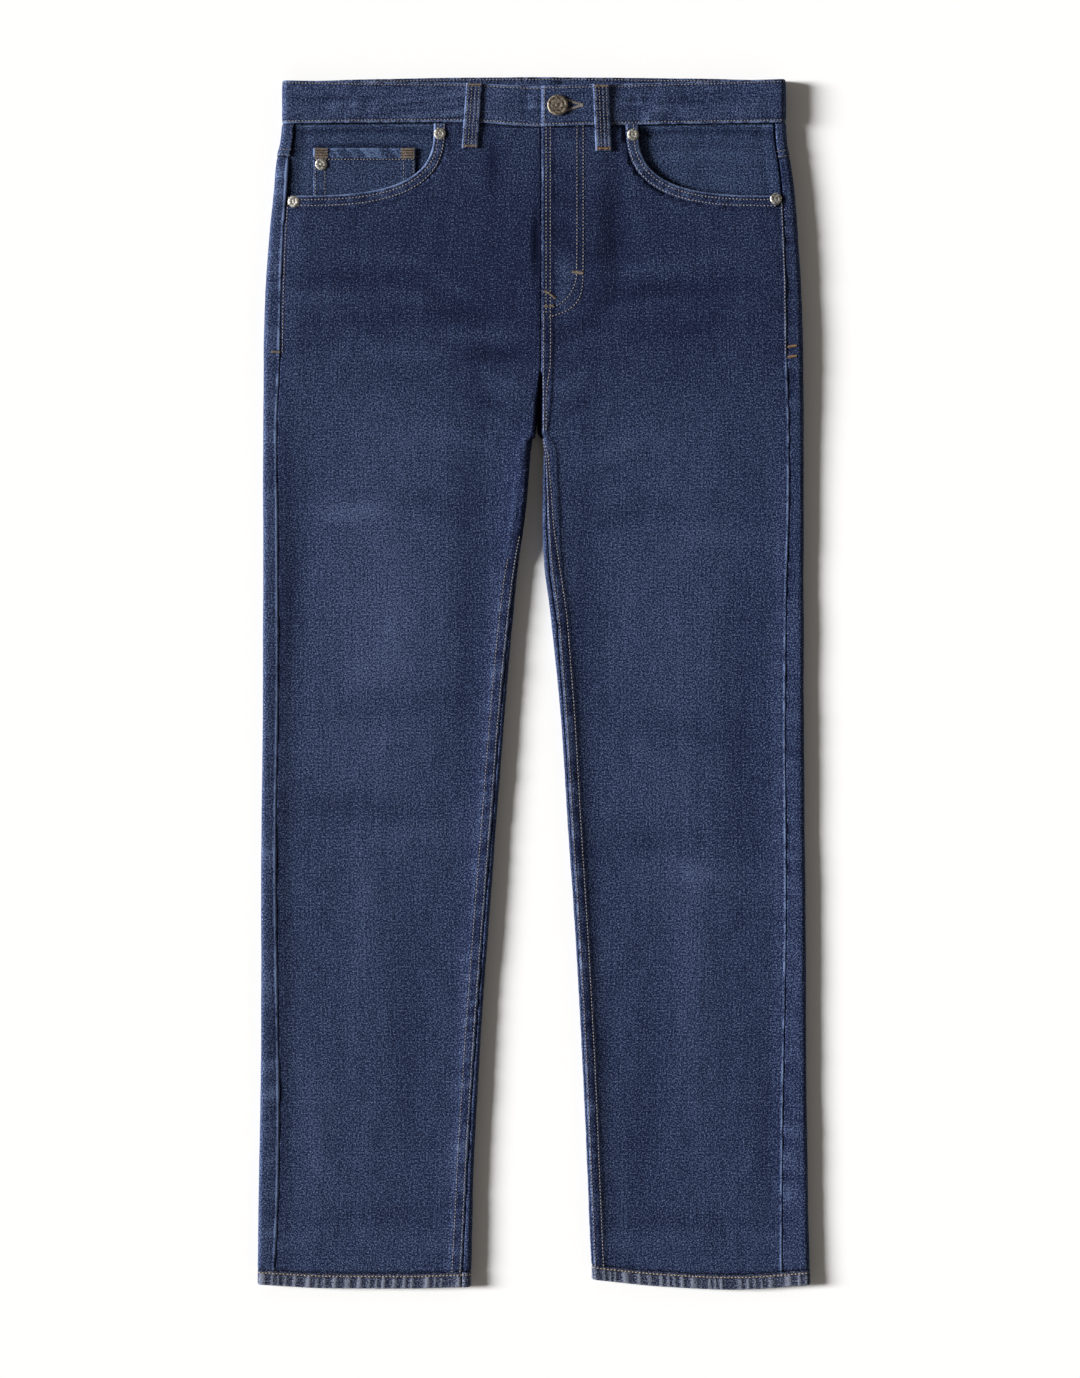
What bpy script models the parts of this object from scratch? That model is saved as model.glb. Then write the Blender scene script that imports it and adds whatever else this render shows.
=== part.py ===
# Straight leg jeans, laid flat with the front up.
#
# X runs to the wearer's left, Y towards the waist and Z up from the surface the jeans lie on.
# Sizes below are in millimetres, and MM turns them into metres when a mesh is made.
# Each leg, and each half of the seat, is a flattened tube. Its outline at one height is a folded
# edge on either side, a flat underside and a softly sagging top. That outline is cut at the
# outseam and the inseam, which both lie on the front, into the front and the back panel.

import math
from bisect import bisect_right
from collections import namedtuple
from functools import lru_cache

import bmesh
import bpy
from mathutils import Vector

MM = 0.001

# Cloth thicknesses and clearances
DENIM = 1.2
BAND_CLOTH = 2.2
HEM_CLOTH = 2.6
HIDDEN_CLOTH = 0.9
PATCH_CLOTH = 1.0
LOOP_CLOTH = 1.4
SEAM_GAP = 0.3
PATCH_LIFT = PATCH_CLOTH + SEAM_GAP
FLY_LIFT = HIDDEN_CLOTH + SEAM_GAP

# Heights along the garment
CROTCH_Y = 218.5
HEM_HEIGHT = 13.5
SEAT_TOP_Y = 400.0
FLY_BOTTOM_Y = 322.0
FLY_CURVE = 40.0
FLY_WIDTH = 38.0
FLY_EDGE_X = 6.5
FLY_CLEAR = 10.0
FLY_BLEND = 24.0
FLY_ROWS = 12
FLY_COLUMNS = 5
FLY_ROW_CROWDING = 1.6
SHIELD_RIGHT_X = -14.0
SHIELD_LEFT_X = 38.0
SHIELD_SHORTER = 6.0

# How far in from a folded edge the cloth still rises or sags
EDGE_REACH = 28.0
CREASE_REACH = 22.0

# The outline, from hem to waist: where each leg's outer and inner fold lies.
# Above the crotch the two halves share the centre line instead of an inner fold.
Outline = namedtuple("Outline", "y right_outer right_inner left_inner left_outer")
OUTLINE = [
    Outline(-532.0, -243.4, -55.4, 51.2, 243.2),
    Outline(-446.0, -242.4, -53.7, 47.6, 241.2),
    Outline(-340.0, -240.6, -48.4, 43.0, 239.8),
    Outline(-234.0, -240.2, -41.4, 37.0, 239.4),
    Outline(-128.0, -240.0, -33.4, 29.9, 238.4),
    Outline(-23.0, -238.8, -25.4, 22.9, 237.6),
    Outline(56.0, -238.5, -18.5, 15.0, 237.6),
    Outline(108.0, -238.5, -13.2, 8.6, 237.6),
    Outline(144.0, -238.5, -8.4, 7.4, 237.6),
    Outline(170.0, -238.5, -6.4, 7.6, 237.6),
    Outline(204.0, -238.5, -4.6, 8.4, 237.6),
    Outline(289.0, -237.9, None, None, 237.0),
    Outline(341.0, -236.4, None, None, 235.7),
    Outline(394.0, -233.0, None, None, 232.2),
    Outline(433.5, -229.0, None, None, 229.2),
    Outline(460.5, -226.6, None, None, 225.6),
    Outline(475.0, -223.4, None, None, 223.0),
    Outline(492.0, -221.8, None, None, 222.0),
    Outline(532.0, -220.9, None, None, 221.0),
]

# How thick the laid tube is, at its folded edges and across its middle.
Thickness = namedtuple("Thickness", "y fold middle")
THICKNESS = [
    Thickness(-534.0, 6.8, 6.0),
    Thickness(-512.0, 6.6, 5.6),
    Thickness(-470.0, 6.4, 4.8),
    Thickness(-340.0, 6.4, 4.3),
    Thickness(-100.0, 6.4, 4.4),
    Thickness(60.0, 6.5, 4.9),
    Thickness(150.0, 6.8, 5.8),
    Thickness(218.5, 7.4, 7.2),
    Thickness(255.0, 8.0, 8.6),
    Thickness(300.0, 8.4, 9.6),
    Thickness(420.0, 8.4, 10.1),
    Thickness(500.0, 8.4, 10.2),
]

# How far the seams lie in from the folded edges, measured round the cloth for the inseams.
Seams = namedtuple("Seams", "y right_outseam right_inseam left_inseam left_outseam")
SEAMS = [
    Seams(-534.0, 15.0, 10.0, 3.4, 24.5),
    Seams(-440.0, 18.0, 7.0, 3.2, 22.0),
    Seams(-150.0, 13.6, 5.4, 4.1, 16.2),
    Seams(0.0, 14.2, 5.0, 5.3, 15.8),
    Seams(60.0, 14.0, 4.4, 6.8, 15.2),
    Seams(100.0, 13.8, 3.4, 6.8, 14.4),
    Seams(145.0, 13.6, 2.4, 6.2, 13.0),
    Seams(196.0, 13.0, 1.0, 3.6, 12.6),
    Seams(218.5, 12.8, 0.0, 0.0, 12.6),
    Seams(290.0, 15.2, 0.0, 0.0, 14.2),
    Seams(440.0, 12.0, 0.0, 0.0, 10.6),
    Seams(500.0, 10.4, 0.0, 0.0, 9.8),
]

# The crease between the legs: how far each half's fold stops short of the centre line (minus),
# or would reach past it (plus), before it is gone higher up.
Crease = namedtuple("Crease", "y past")
CREASE = [
    Crease(204.0, -6.5),
    Crease(212.0, -5.6),
    Crease(216.5, -3.2),
    Crease(218.5, 0.0),
    Crease(222.0, 1.6),
    Crease(229.0, 4.0),
    Crease(241.0, 9.0),
    Crease(262.0, 20.0),
    Crease(290.0, 40.0),
    Crease(340.0, 80.0),
    Crease(534.0, 80.0),
]

# The centre seam leans over to the fly edge above the crotch.
Centre = namedtuple("Centre", "y x")
CENTRE = [
    Centre(204.0, 2.0),
    Centre(218.5, 2.2),
    Centre(245.0, 4.6),
    Centre(275.0, 6.2),
    Centre(300.0, 6.5),
    Centre(534.0, 6.5),
]

# The waistband's top edge and its seam, across the front and across the back.
# The back is cut higher, so it shows above the front.
BandEdge = namedtuple("BandEdge", "x front_top front_seam back_top back_seam")
BAND_EDGES = [
    BandEdge(-221.0, 529.6, 491.4, 529.8, 491.6),
    BandEdge(-150.0, 528.4, 492.2, 531.6, 493.0),
    BandEdge(-60.0, 527.2, 492.6, 533.4, 495.0),
    BandEdge(6.0, 524.6, 488.6, 533.6, 495.4),
    BandEdge(60.0, 526.0, 489.8, 533.4, 495.0),
    BandEdge(150.0, 528.6, 491.4, 532.2, 493.4),
    BandEdge(221.0, 530.8, 492.4, 530.8, 492.6),
]

# The hem's lower edge, from the outer fold (0) to the inner fold (1) of each leg.
HemEdge = namedtuple("HemEdge", "across right left")
HEM_EDGES = [
    HemEdge(0.0, -529.0, -529.4),
    HemEdge(0.35, -532.4, -533.6),
    HemEdge(0.7, -532.6, -530.6),
    HemEdge(1.0, -531.0, -524.6),
]

# The yoke seam behind, from the side to the centre of the back.
YOKE_SIDE_Y = 463.0
YOKE_CENTRE_Y = 432.0
YOKE_ROWS = 3

# Pocket mouths: a curve from the waistband seam to the side seam.
# Each is a quarter of a rounded box whose corner is where the side seam meets the waistband.
Mouth = namedtuple("Mouth", "side_x inner_x depth")
POCKET_MOUTHS = {
    "right": Mouth(-214.0, -88.0, 63.0),
    "left": Mouth(213.0, 91.5, 63.0),
}
MOUTH_CORNER_Y = 491.5
MOUTH_ROUNDNESS = 3.0
MOUTH_STEPS = 12
CUTTER_PAST = 10.0
FACING_INNER = 12.0
FACING_BELOW = 22.0
FACING_DROP = DENIM + 3.0 * SEAM_GAP + PATCH_CLOTH
FACING_SIDE_DROP = DENIM + SEAM_GAP
FACING_SIDE_REACH = 14.0
FACING_TOP_Y = 480.0
FACING_ROWS = 7
FACING_COLUMNS = [0.0, 0.05, 0.12, 0.26, 0.42, 0.58, 0.74, 0.88, 1.0]

# The coin pocket, on the right facing.
COIN_RIGHT_X = -194.0
COIN_LEFT_X = -104.0
COIN_TOP_Y = 470.5
COIN_BOTTOM_Y = 412.0
COIN_ROWS = 5
COIN_COLUMNS = 6

# The largest folds of the front, as soft troughs (minus) and ridges (plus).
Fold = namedtuple("Fold", "x y angle length width height")
FOLDS = [
    Fold(-156.0, 355.0, -2.0, 62.0, 11.0, -0.9),
    Fold(-58.0, 326.0, -31.0, 28.0, 10.0, -0.8),
    Fold(-42.0, 305.0, -10.0, 44.0, 10.0, 0.7),
    Fold(-30.0, 288.0, -12.0, 28.0, 9.0, -0.8),
    Fold(104.0, 362.0, 18.0, 38.0, 10.0, 0.7),
    Fold(126.0, 344.0, 15.0, 40.0, 10.0, -0.7),
    Fold(72.0, 400.0, 90.0, 34.0, 11.0, -0.6),
    Fold(-60.0, 20.0, 86.0, 200.0, 16.0, -0.6),
    Fold(-205.0, 90.0, 90.0, 110.0, 15.0, -0.5),
    Fold(180.0, -18.0, 91.0, 180.0, 17.0, -0.6),
    Fold(-140.0, -60.0, 8.0, 60.0, 26.0, 0.6),
    Fold(120.0, -90.0, -6.0, 60.0, 26.0, 0.6),
]

# The seat lifts off the surface over the back pockets.
POCKET_CENTRE_X = 98.0
POCKET_TOP_Y = 404.0
POCKET_WIDTH = 138.0
POCKET_SIDE = 122.0
POCKET_POINT = 148.0
POCKET_TAPER = 0.93
LIFT_OUTER_X = 200.0
LIFT_BOTTOM_Y = 238.0
LIFT_BLEND = 24.0

# Belt loops: where the middle of each lies, and how long they are.
LOOP_WIDTH = 14.0
LOOP_SEAT = 0.4
LOOP_BRIDGE = 10.0
FRONT_LOOP_ROWS = 10
BACK_LOOP_LENGTH = 52.0
BACK_LOOP_TOP_Y = 530.5
BACK_LOOPS = {"back_loop_right": -150.0, "back_loop_centre": 2.0, "back_loop_left": 150.0}
FrontLoop = namedtuple("FrontLoop", "name half x top_y length slant")
FRONT_LOOPS = [
    FrontLoop("front_loop_right", "right", -52.5, 527.0, 57.5, 4.0),
    FrontLoop("front_loop_left", "left", 58.6, 525.6, 58.6, -2.5),
]
LOOP_LIFT_REACH = 12.0
LOOP_LIFT_BLEND = 12.0

# The waistband's front stands a little higher where its left end lies over its right.
BAND_HEIGHT = 10.4
BAND_OVER = BAND_CLOTH + SEAM_GAP
BAND_UNDER_END_X = 46.0
BAND_RISE_START_X = 50.0
BAND_RISE = 30.0
BAND_ROWS = 3
BAND_FRONT_COLUMNS = 10
BAND_FOLD_COLUMNS = 7
BAND_BACK_STEP = 45.0

# Tack button and rivets.
BUTTON_X = 20.7
BUTTON_Y = 507.0
BUTTON_RADIUS = 9.1
SHANK_RADIUS = 2.3
EYE_RADIUS = 2.9
EYE_STEPS = 16
SLIT_LENGTH = 22.0
SLIT_WIDTH = 1.2
RIVET_RADIUS = 5.2
RIVET_SEAT = 0.4
SLOPE_REACH = 4.0
RIVETS = {
    "rivet_right_mouth": (-82.7, 482.6),
    "rivet_right_side": (-211.0, 423.0),
    "rivet_coin": (-187.0, 456.0),
    "rivet_left_mouth": (87.0, 481.6),
    "rivet_left_side": (212.5, 425.4),
}
BUTTON_STEPS = 22
RIVET_STEPS = 14

# Rows and columns of the panels' grids.
LEG_ROW_STEP = 41.0
SEAT_ROW_STEP = 15.0
FRONT_TOP_ROWS = 5
LEG_ROWS_LOW_Y = -480.0
LOWEST_ROW_Y = -500.0
CROTCH_ROWS = [130.0, 158.0, 180.0, 196.0, 204.0, 210.0, 214.0, 216.8, 218.5, 220.4, 224.0, 230.0, 239.0]
FRONT_NEAR_COLUMNS = [0.0, 0.25, 2.4, 5.2, 9.0, 20.0, 34.0, 50.0]
FRONT_FAR_SHARES = [0.17, 0.42, 0.66, 0.87, 1.0]
BACK_FOLD_COLUMNS = 5
BACK_FLAT_COLUMNS = 7
BACK_END_COLUMNS = [17.5, 13.8, 10.6, 7.6, 4.8, 2.3, 0.25, 0.0]
HEM_FLAT_COLUMNS = 9
HEM_FOLD_COLUMNS = 5
OUTLINE_STEPS = 48
ARC_STEPS = 9
OVERRUN_STEPS = 7
SETTLE_STEPS = 6

# Where the stretches of a half's outline begin and end, as places in its list of points.
TOP_START = ARC_STEPS
TOP_END = TOP_START + OUTLINE_STEPS
UNDER_START = TOP_END + 2 * ARC_STEPS
UNDER_END = UNDER_START + OUTLINE_STEPS
FOLD_AGAIN = UNDER_END + ARC_STEPS
TOP_AGAIN = UNDER_END + 2 * ARC_STEPS


def curve_through(points):
    """A smooth function of the first value, through rows of two values, with no overshoot."""
    xs = [point[0] for point in points]
    ys = [point[1] for point in points]
    slopes = [(ys[i + 1] - ys[i]) / (xs[i + 1] - xs[i]) for i in range(len(xs) - 1)]
    tangents = [slopes[0]]
    for before, after in zip(slopes, slopes[1:]):
        level = before * after <= 0.0
        tangents.append(0.0 if level else 2.0 * before * after / (before + after))
    tangents.append(slopes[-1])

    def value(x):
        x = min(max(x, xs[0]), xs[-1])
        i = min(max(bisect_right(xs, x) - 1, 0), len(slopes) - 1)
        step = xs[i + 1] - xs[i]
        t = (x - xs[i]) / step
        start = (1.0 + 2.0 * t) * (1.0 - t) ** 2 * ys[i] + t * (1.0 - t) ** 2 * step * tangents[i]
        end = t * t * (3.0 - 2.0 * t) * ys[i + 1] + t * t * (t - 1.0) * step * tangents[i + 1]
        return start + end

    return value


def column_curve(table, column):
    """The smooth curve through one named column of a table."""
    rows = [row for row in table if getattr(row, column) is not None]
    return curve_through([(row[0], getattr(row, column)) for row in rows])


OUTER_X = {"right": column_curve(OUTLINE, "right_outer"), "left": column_curve(OUTLINE, "left_outer")}
INNER_X = {"right": column_curve(OUTLINE, "right_inner"), "left": column_curve(OUTLINE, "left_inner")}
OUTSEAM = {"right": column_curve(SEAMS, "right_outseam"), "left": column_curve(SEAMS, "left_outseam")}
INSEAM = {"right": column_curve(SEAMS, "right_inseam"), "left": column_curve(SEAMS, "left_inseam")}
FOLD_HEIGHT = column_curve(THICKNESS, "fold")
MIDDLE_HEIGHT = column_curve(THICKNESS, "middle")
CENTRE_X = column_curve(CENTRE, "x")
CREASE_PAST = column_curve(CREASE, "past")
FRONT_TOP = column_curve(BAND_EDGES, "front_top")
FRONT_SEAM = column_curve(BAND_EDGES, "front_seam")
BACK_TOP = column_curve(BAND_EDGES, "back_top")
BACK_SEAM = column_curve(BAND_EDGES, "back_seam")
HEM_EDGE = {"right": column_curve(HEM_EDGES, "right"), "left": column_curve(HEM_EDGES, "left")}
INWARD = {"right": 1.0, "left": -1.0}


def ease(value, start, end):
    """0 before start, 1 past end, and a soft S between them."""
    t = min(max((value - start) / (end - start), 0.0), 1.0)
    return t * t * (3.0 - 2.0 * t)


def inner_fold_x(half, y):
    """Where one half's inner fold lies, or would lie if the centre line did not end it."""
    if y <= CREASE[0].y:
        return INNER_X[half](y)
    return CENTRE_X(y) + INWARD[half] * CREASE_PAST(y)


def fold_offset(x, y):
    """How far the folds raise or lower the front at a place."""
    total = 0.0
    for fold in FOLDS:
        turn = math.radians(fold.angle)
        along = (x - fold.x) * math.cos(turn) + (y - fold.y) * math.sin(turn)
        across = (y - fold.y) * math.cos(turn) - (x - fold.x) * math.sin(turn)
        total += fold.height * math.exp(-((along / fold.length) ** 2) - (across / fold.width) ** 2)
    return total


def fly_reach(y):
    """How far the fly facing reaches from the fly edge: straight, then curved in like a J."""
    below = min(max((FLY_BOTTOM_Y + FLY_CURVE - y) / FLY_CURVE, 0.0), 1.0)
    return FLY_WIDTH * math.sqrt(1.0 - below * below)


def fly_raise(x, y):
    """How far the left front is raised by the facing under it."""
    clear = fly_reach(y + FLY_CLEAR) + FLY_CLEAR
    across = 1.0 - ease(x - FLY_EDGE_X, clear, clear + FLY_BLEND)
    return FLY_LIFT * across * ease(y, FLY_BOTTOM_Y - FLY_CLEAR - FLY_BLEND, FLY_BOTTOM_Y - FLY_CLEAR)


def top_height(half, x, y):
    """Height of the front's outer face."""
    outer = abs(x - OUTER_X[half](y))
    inner = (inner_fold_x(half, y) - x) * INWARD[half]
    radius = FOLD_HEIGHT(y) / 2.0
    reach = ease(outer, radius, radius + EDGE_REACH) * ease(inner, radius, radius + CREASE_REACH)
    height = FOLD_HEIGHT(y) + (MIDDLE_HEIGHT(y) - FOLD_HEIGHT(y) + fold_offset(x, y)) * reach
    if half == "left":
        height += fly_raise(x, y) * ease(inner, radius, radius + 8.0)
    return height


def under_height(half, x, y):
    """Height of the back's outer face: on the surface, or lifted over the pockets and loops."""
    inner = (inner_fold_x(half, y) - x) * INWARD[half]
    radius = FOLD_HEIGHT(y) / 2.0
    across = ease(inner, radius, radius + CREASE_REACH)
    across *= 1.0 - ease(abs(x), LIFT_OUTER_X, LIFT_OUTER_X + LIFT_BLEND)
    return PATCH_LIFT * across * ease(y, LIFT_BOTTOM_Y - LIFT_BLEND, LIFT_BOTTOM_Y)


def spread(start, end, count):
    """Evenly spaced values from start up to, but not including, end."""
    return [start + (end - start) * i / count for i in range(count)]


def fold_arc(x, inward, radius, angles):
    """Points round a folded edge whose outermost point is x, at angles down from its top."""
    points = []
    for angle in angles:
        turn = math.radians(angle)
        points.append((x + inward * radius * (1.0 - math.sin(turn)), radius * (1.0 + math.cos(turn))))
    return points


@lru_cache(maxsize=None)
def half_outline(half, y):
    """One half's outline at a height, as (x, z) points and their distances round it.

    It starts at the inner fold's outermost point and runs over the top, round the outer fold,
    back underneath, up round the inner fold and a little way over the top again.
    """
    radius = FOLD_HEIGHT(y) / 2.0
    inward = INWARD[half]
    outer = OUTER_X[half](y)
    inner = inner_fold_x(half, y)
    flat_outer = outer + inward * radius
    flat_inner = inner - inward * radius
    quarter = 90.0 / ARC_STEPS
    points = fold_arc(inner, -inward, radius, [90.0 - quarter * step for step in range(ARC_STEPS)])
    xs = spread(flat_inner, flat_outer, OUTLINE_STEPS) + [flat_outer]
    top = [(x, top_height(half, x, y)) for x in xs]
    round_fold = [quarter * step for step in range(1, 2 * ARC_STEPS)]
    points += top
    points += fold_arc(outer, inward, radius, round_fold)
    points += [(x, under_height(half, x, y)) for x in reversed(xs)]
    points += fold_arc(inner, -inward, radius, [180.0 - angle for angle in round_fold])
    points += top[:OVERRUN_STEPS]
    distances = [0.0]
    for (x0, z0), (x1, z1) in zip(points, points[1:]):
        distances.append(distances[-1] + math.hypot(x1 - x0, z1 - z0))
    return points, distances


def outline_point(half, y, distance):
    """The point of a half's outline that lies a distance round from its inner fold."""
    points, distances = half_outline(half, y)
    distance = min(max(distance, 0.0), distances[-1])
    i = min(max(bisect_right(distances, distance) - 1, 0), len(points) - 2)
    step = distances[i + 1] - distances[i]
    t = (distance - distances[i]) / step if step > 0.0 else 0.0
    x = points[i][0] + (points[i + 1][0] - points[i][0]) * t
    z = points[i][1] + (points[i + 1][1] - points[i][1]) * t
    return x, z


def crossing(half, y, indices, x):
    """The distance round at which a stretch of the outline crosses x."""
    points, distances = half_outline(half, y)
    for i in indices:
        before = points[i][0] - x
        after = points[i + 1][0] - x
        if before * after <= 0.0 and before != after:
            return distances[i] + (distances[i + 1] - distances[i]) * before / (before - after)
    raise ValueError(f"no crossing of x {x} in the {half} half at y {y}")


@lru_cache(maxsize=None)
def cuts(half, y):
    """Distances round the outline at which it is cut: front start, outseam, back end."""
    distances = half_outline(half, y)[1]
    inward = INWARD[half]
    centre = CENTRE_X(y) - inward * SEAM_GAP / 2.0
    if (inner_fold_x(half, y) - centre) * inward > 0.0:
        front_start = crossing(half, y, range(TOP_END), centre)
        back_end = crossing(half, y, range(UNDER_START, FOLD_AGAIN), centre)
    else:
        front_start = INSEAM[half](y) + SEAM_GAP / 2.0
        back_end = distances[FOLD_AGAIN] + INSEAM[half](y) - SEAM_GAP / 2.0
    outseam_x = OUTER_X[half](y) + inward * OUTSEAM[half](y)
    return front_start, crossing(half, y, range(TOP_START, TOP_END), outseam_x), back_end


def front_place(half, y, column):
    """A front panel's point: column 0 is at the inseam or centre, the last one at the outseam."""
    start, outseam, _ = cuts(half, y)
    outseam -= SEAM_GAP / 2.0
    near = len(FRONT_NEAR_COLUMNS)
    if column < near:
        distance = start + FRONT_NEAR_COLUMNS[column]
    else:
        first = start + FRONT_NEAR_COLUMNS[-1]
        distance = first + (outseam - first) * FRONT_FAR_SHARES[column - near]
    return outline_point(half, y, distance)


def back_place(half, y, column):
    """A back panel's point: column 0 is at the outseam, the last one at the inseam or centre."""
    _, outseam, end = cuts(half, y)
    start = outseam + SEAM_GAP / 2.0
    radius = FOLD_HEIGHT(y) / 2.0
    fold_end = start + OUTSEAM[half](y) - radius + math.pi * radius
    flat_end = end - BACK_END_COLUMNS[0]
    if column <= BACK_FOLD_COLUMNS:
        distance = start + (fold_end - start) * column / BACK_FOLD_COLUMNS
    elif column <= BACK_FOLD_COLUMNS + BACK_FLAT_COLUMNS:
        distance = fold_end + (flat_end - fold_end) * (column - BACK_FOLD_COLUMNS) / BACK_FLAT_COLUMNS
    else:
        distance = end - BACK_END_COLUMNS[column - BACK_FOLD_COLUMNS - BACK_FLAT_COLUMNS]
    return outline_point(half, y, distance)


def row_heights():
    """Heights of a panel's rows: wide apart down the leg, closer at the crotch and the seat."""
    leg_span = CROTCH_ROWS[0] - LEG_ROWS_LOW_Y
    seat_span = SEAT_TOP_Y - CROTCH_ROWS[-1]
    heights = [LOWEST_ROW_Y]
    heights += spread(LEG_ROWS_LOW_Y, CROTCH_ROWS[0], math.ceil(leg_span / LEG_ROW_STEP))
    heights += CROTCH_ROWS[:-1]
    heights += spread(CROTCH_ROWS[-1], SEAT_TOP_Y, math.ceil(seat_span / SEAT_ROW_STEP))
    return heights + [SEAT_TOP_Y]


def settled_y(half, place, column, y_of_x, y_guess):
    """Where a column of a panel meets a slanting or curved edge, whose height depends on x."""
    y = y_guess
    for _ in range(SETTLE_STEPS):
        y = y_of_x(place(half, y, column)[0])
    return y


def panel_row(half, place, heights):
    """One row of a panel's points, given the height of each column."""
    row = []
    for column, y in enumerate(heights):
        x, z = place(half, y, column)
        row.append((x, y, z))
    return row


def panel_grid(half, place, columns, bottom_edge, top_edge, top_rows):
    """Rows of points from a panel's bottom edge to its top edge."""
    lows = [settled_y(half, place, c, bottom_edge, LOWEST_ROW_Y) for c in range(columns)]
    tops = [settled_y(half, place, c, top_edge, SEAT_TOP_Y) for c in range(columns)]
    rows = [panel_row(half, place, lows)]
    rows += [panel_row(half, place, [y] * columns) for y in row_heights()]
    for step in range(1, top_rows + 1):
        part = step / top_rows
        rows.append(panel_row(half, place, [SEAT_TOP_Y + (top - SEAT_TOP_Y) * part for top in tops]))
    return rows


def material(name, colour, roughness, metallic=0.0):
    made = bpy.data.materials.new(name)
    made.use_nodes = True
    shader = made.node_tree.nodes["Principled BSDF"]
    shader.inputs["Base Color"].default_value = (*colour, 1.0)
    shader.inputs["Roughness"].default_value = roughness
    shader.inputs["Metallic"].default_value = metallic
    return made


def link(made, finish, home):
    made.data.materials.append(finish)
    home.objects.link(made)
    return made


def grid_object(name, rows, thickness, finish, home, flip=False, closed=False):
    """An open sheet through rows of points, given its thickness on its inner side."""
    columns = len(rows[0])
    sheet = bmesh.new()
    bmesh.ops.create_grid(sheet, x_segments=columns - 1, y_segments=len(rows) - 1, size=1.0)
    sheet.verts.ensure_lookup_table()
    for r, row in enumerate(rows):
        for c, point in enumerate(row):
            sheet.verts[r * columns + c].co = Vector(point) * MM
    if closed:
        bmesh.ops.remove_doubles(sheet, verts=sheet.verts, dist=0.01 * MM)
    if flip:
        bmesh.ops.reverse_faces(sheet, faces=sheet.faces)
    mesh = bpy.data.meshes.new(name)
    sheet.to_mesh(mesh)
    sheet.free()
    mesh.shade_smooth()
    made = link(bpy.data.objects.new(name, mesh), finish, home)
    shell = made.modifiers.new("cloth", "SOLIDIFY")
    shell.thickness = thickness * MM
    shell.offset = -1.0
    shell.use_even_offset = True
    return made


def plate(name, outline, low, high, finish, home):
    """A flat piece with a drawn outline, between two heights."""
    curve = bpy.data.curves.new(name, "CURVE")
    curve.dimensions = "2D"
    curve.fill_mode = "BOTH"
    curve.extrude = (high - low) / 2.0 * MM
    spline = curve.splines.new("POLY")
    spline.points.add(len(outline) - 1)
    for point, (x, y) in zip(spline.points, outline):
        point.co = (x * MM, y * MM, 0.0, 1.0)
    spline.use_cyclic_u = True
    drawn = bpy.data.objects.new(name + "_curve", curve)
    home.objects.link(drawn)
    drawn.location.z = (high + low) / 2.0 * MM
    bpy.context.view_layer.update()
    evaluated = drawn.evaluated_get(bpy.context.evaluated_depsgraph_get())
    mesh = bpy.data.meshes.new_from_object(evaluated)
    mesh.name = name
    welded = bmesh.new()
    welded.from_mesh(mesh)
    bmesh.ops.remove_doubles(welded, verts=welded.verts, dist=0.005 * MM)
    bmesh.ops.recalc_face_normals(welded, faces=welded.faces)
    welded.to_mesh(mesh)
    welded.free()
    mesh.materials.clear()
    made = bpy.data.objects.new(name, mesh)
    made.matrix_world = drawn.matrix_world
    bpy.data.objects.remove(drawn)
    return link(made, finish, home)


def turned(name, profile, steps, place, normal, finish, home):
    """A round piece, turned from a profile of (radius, height) points, top to bottom."""
    mesh = bpy.data.meshes.new(name)
    sheet = bmesh.new()
    verts = [sheet.verts.new((radius * MM, 0.0, height * MM)) for radius, height in profile]
    for above, below in zip(verts, verts[1:]):
        sheet.edges.new((above, below))
    sheet.to_mesh(mesh)
    sheet.free()
    made = link(bpy.data.objects.new(name, mesh), finish, home)
    screw = made.modifiers.new("turn", "SCREW")
    screw.steps = steps
    screw.render_steps = steps
    screw.use_merge_vertices = True
    screw.merge_threshold = 0.00005
    made.location = Vector(place) * MM
    made.rotation_mode = "QUATERNION"
    made.rotation_quaternion = Vector(normal).to_track_quat("Z", "Y")
    return made


def cut(target, cutter):
    cutter.hide_render = True
    cutter.display_type = "WIRE"
    boolean = target.modifiers.new("cut", "BOOLEAN")
    boolean.operation = "DIFFERENCE"
    boolean.solver = "EXACT"
    boolean.object = cutter


def make_panels(home, denim):
    """Fronts, backs and yokes of both halves."""
    front_columns = len(FRONT_NEAR_COLUMNS) + len(FRONT_FAR_SHARES)
    back_columns = BACK_FOLD_COLUMNS + BACK_FLAT_COLUMNS + len(BACK_END_COLUMNS)
    made = {}
    for half in ("right", "left"):
        flip = half == "right"

        def hem_line(x, half=half):
            return hem_low(half, x) + HEM_HEIGHT + SEAM_GAP

        def front_top(x):
            return FRONT_SEAM(x) - SEAM_GAP

        def yoke_line(x, half=half):
            across = abs(x - CENTRE_X(YOKE_SIDE_Y)) / abs(OUTER_X[half](YOKE_SIDE_Y))
            return YOKE_CENTRE_Y + (YOKE_SIDE_Y - YOKE_CENTRE_Y) * min(across, 1.0)

        rows = panel_grid(half, front_place, front_columns, hem_line, front_top, FRONT_TOP_ROWS)
        made[half + "_front"] = grid_object(half + "_front", rows, DENIM, denim, home, flip)
        rows = panel_grid(half, back_place, back_columns, hem_line, yoke_line, YOKE_ROWS)
        made[half + "_back"] = grid_object(half + "_back", rows, DENIM, denim, home, flip)
        made[half + "_yoke"] = make_yoke(half, back_columns, yoke_line, denim, home, flip)
    return made


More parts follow.
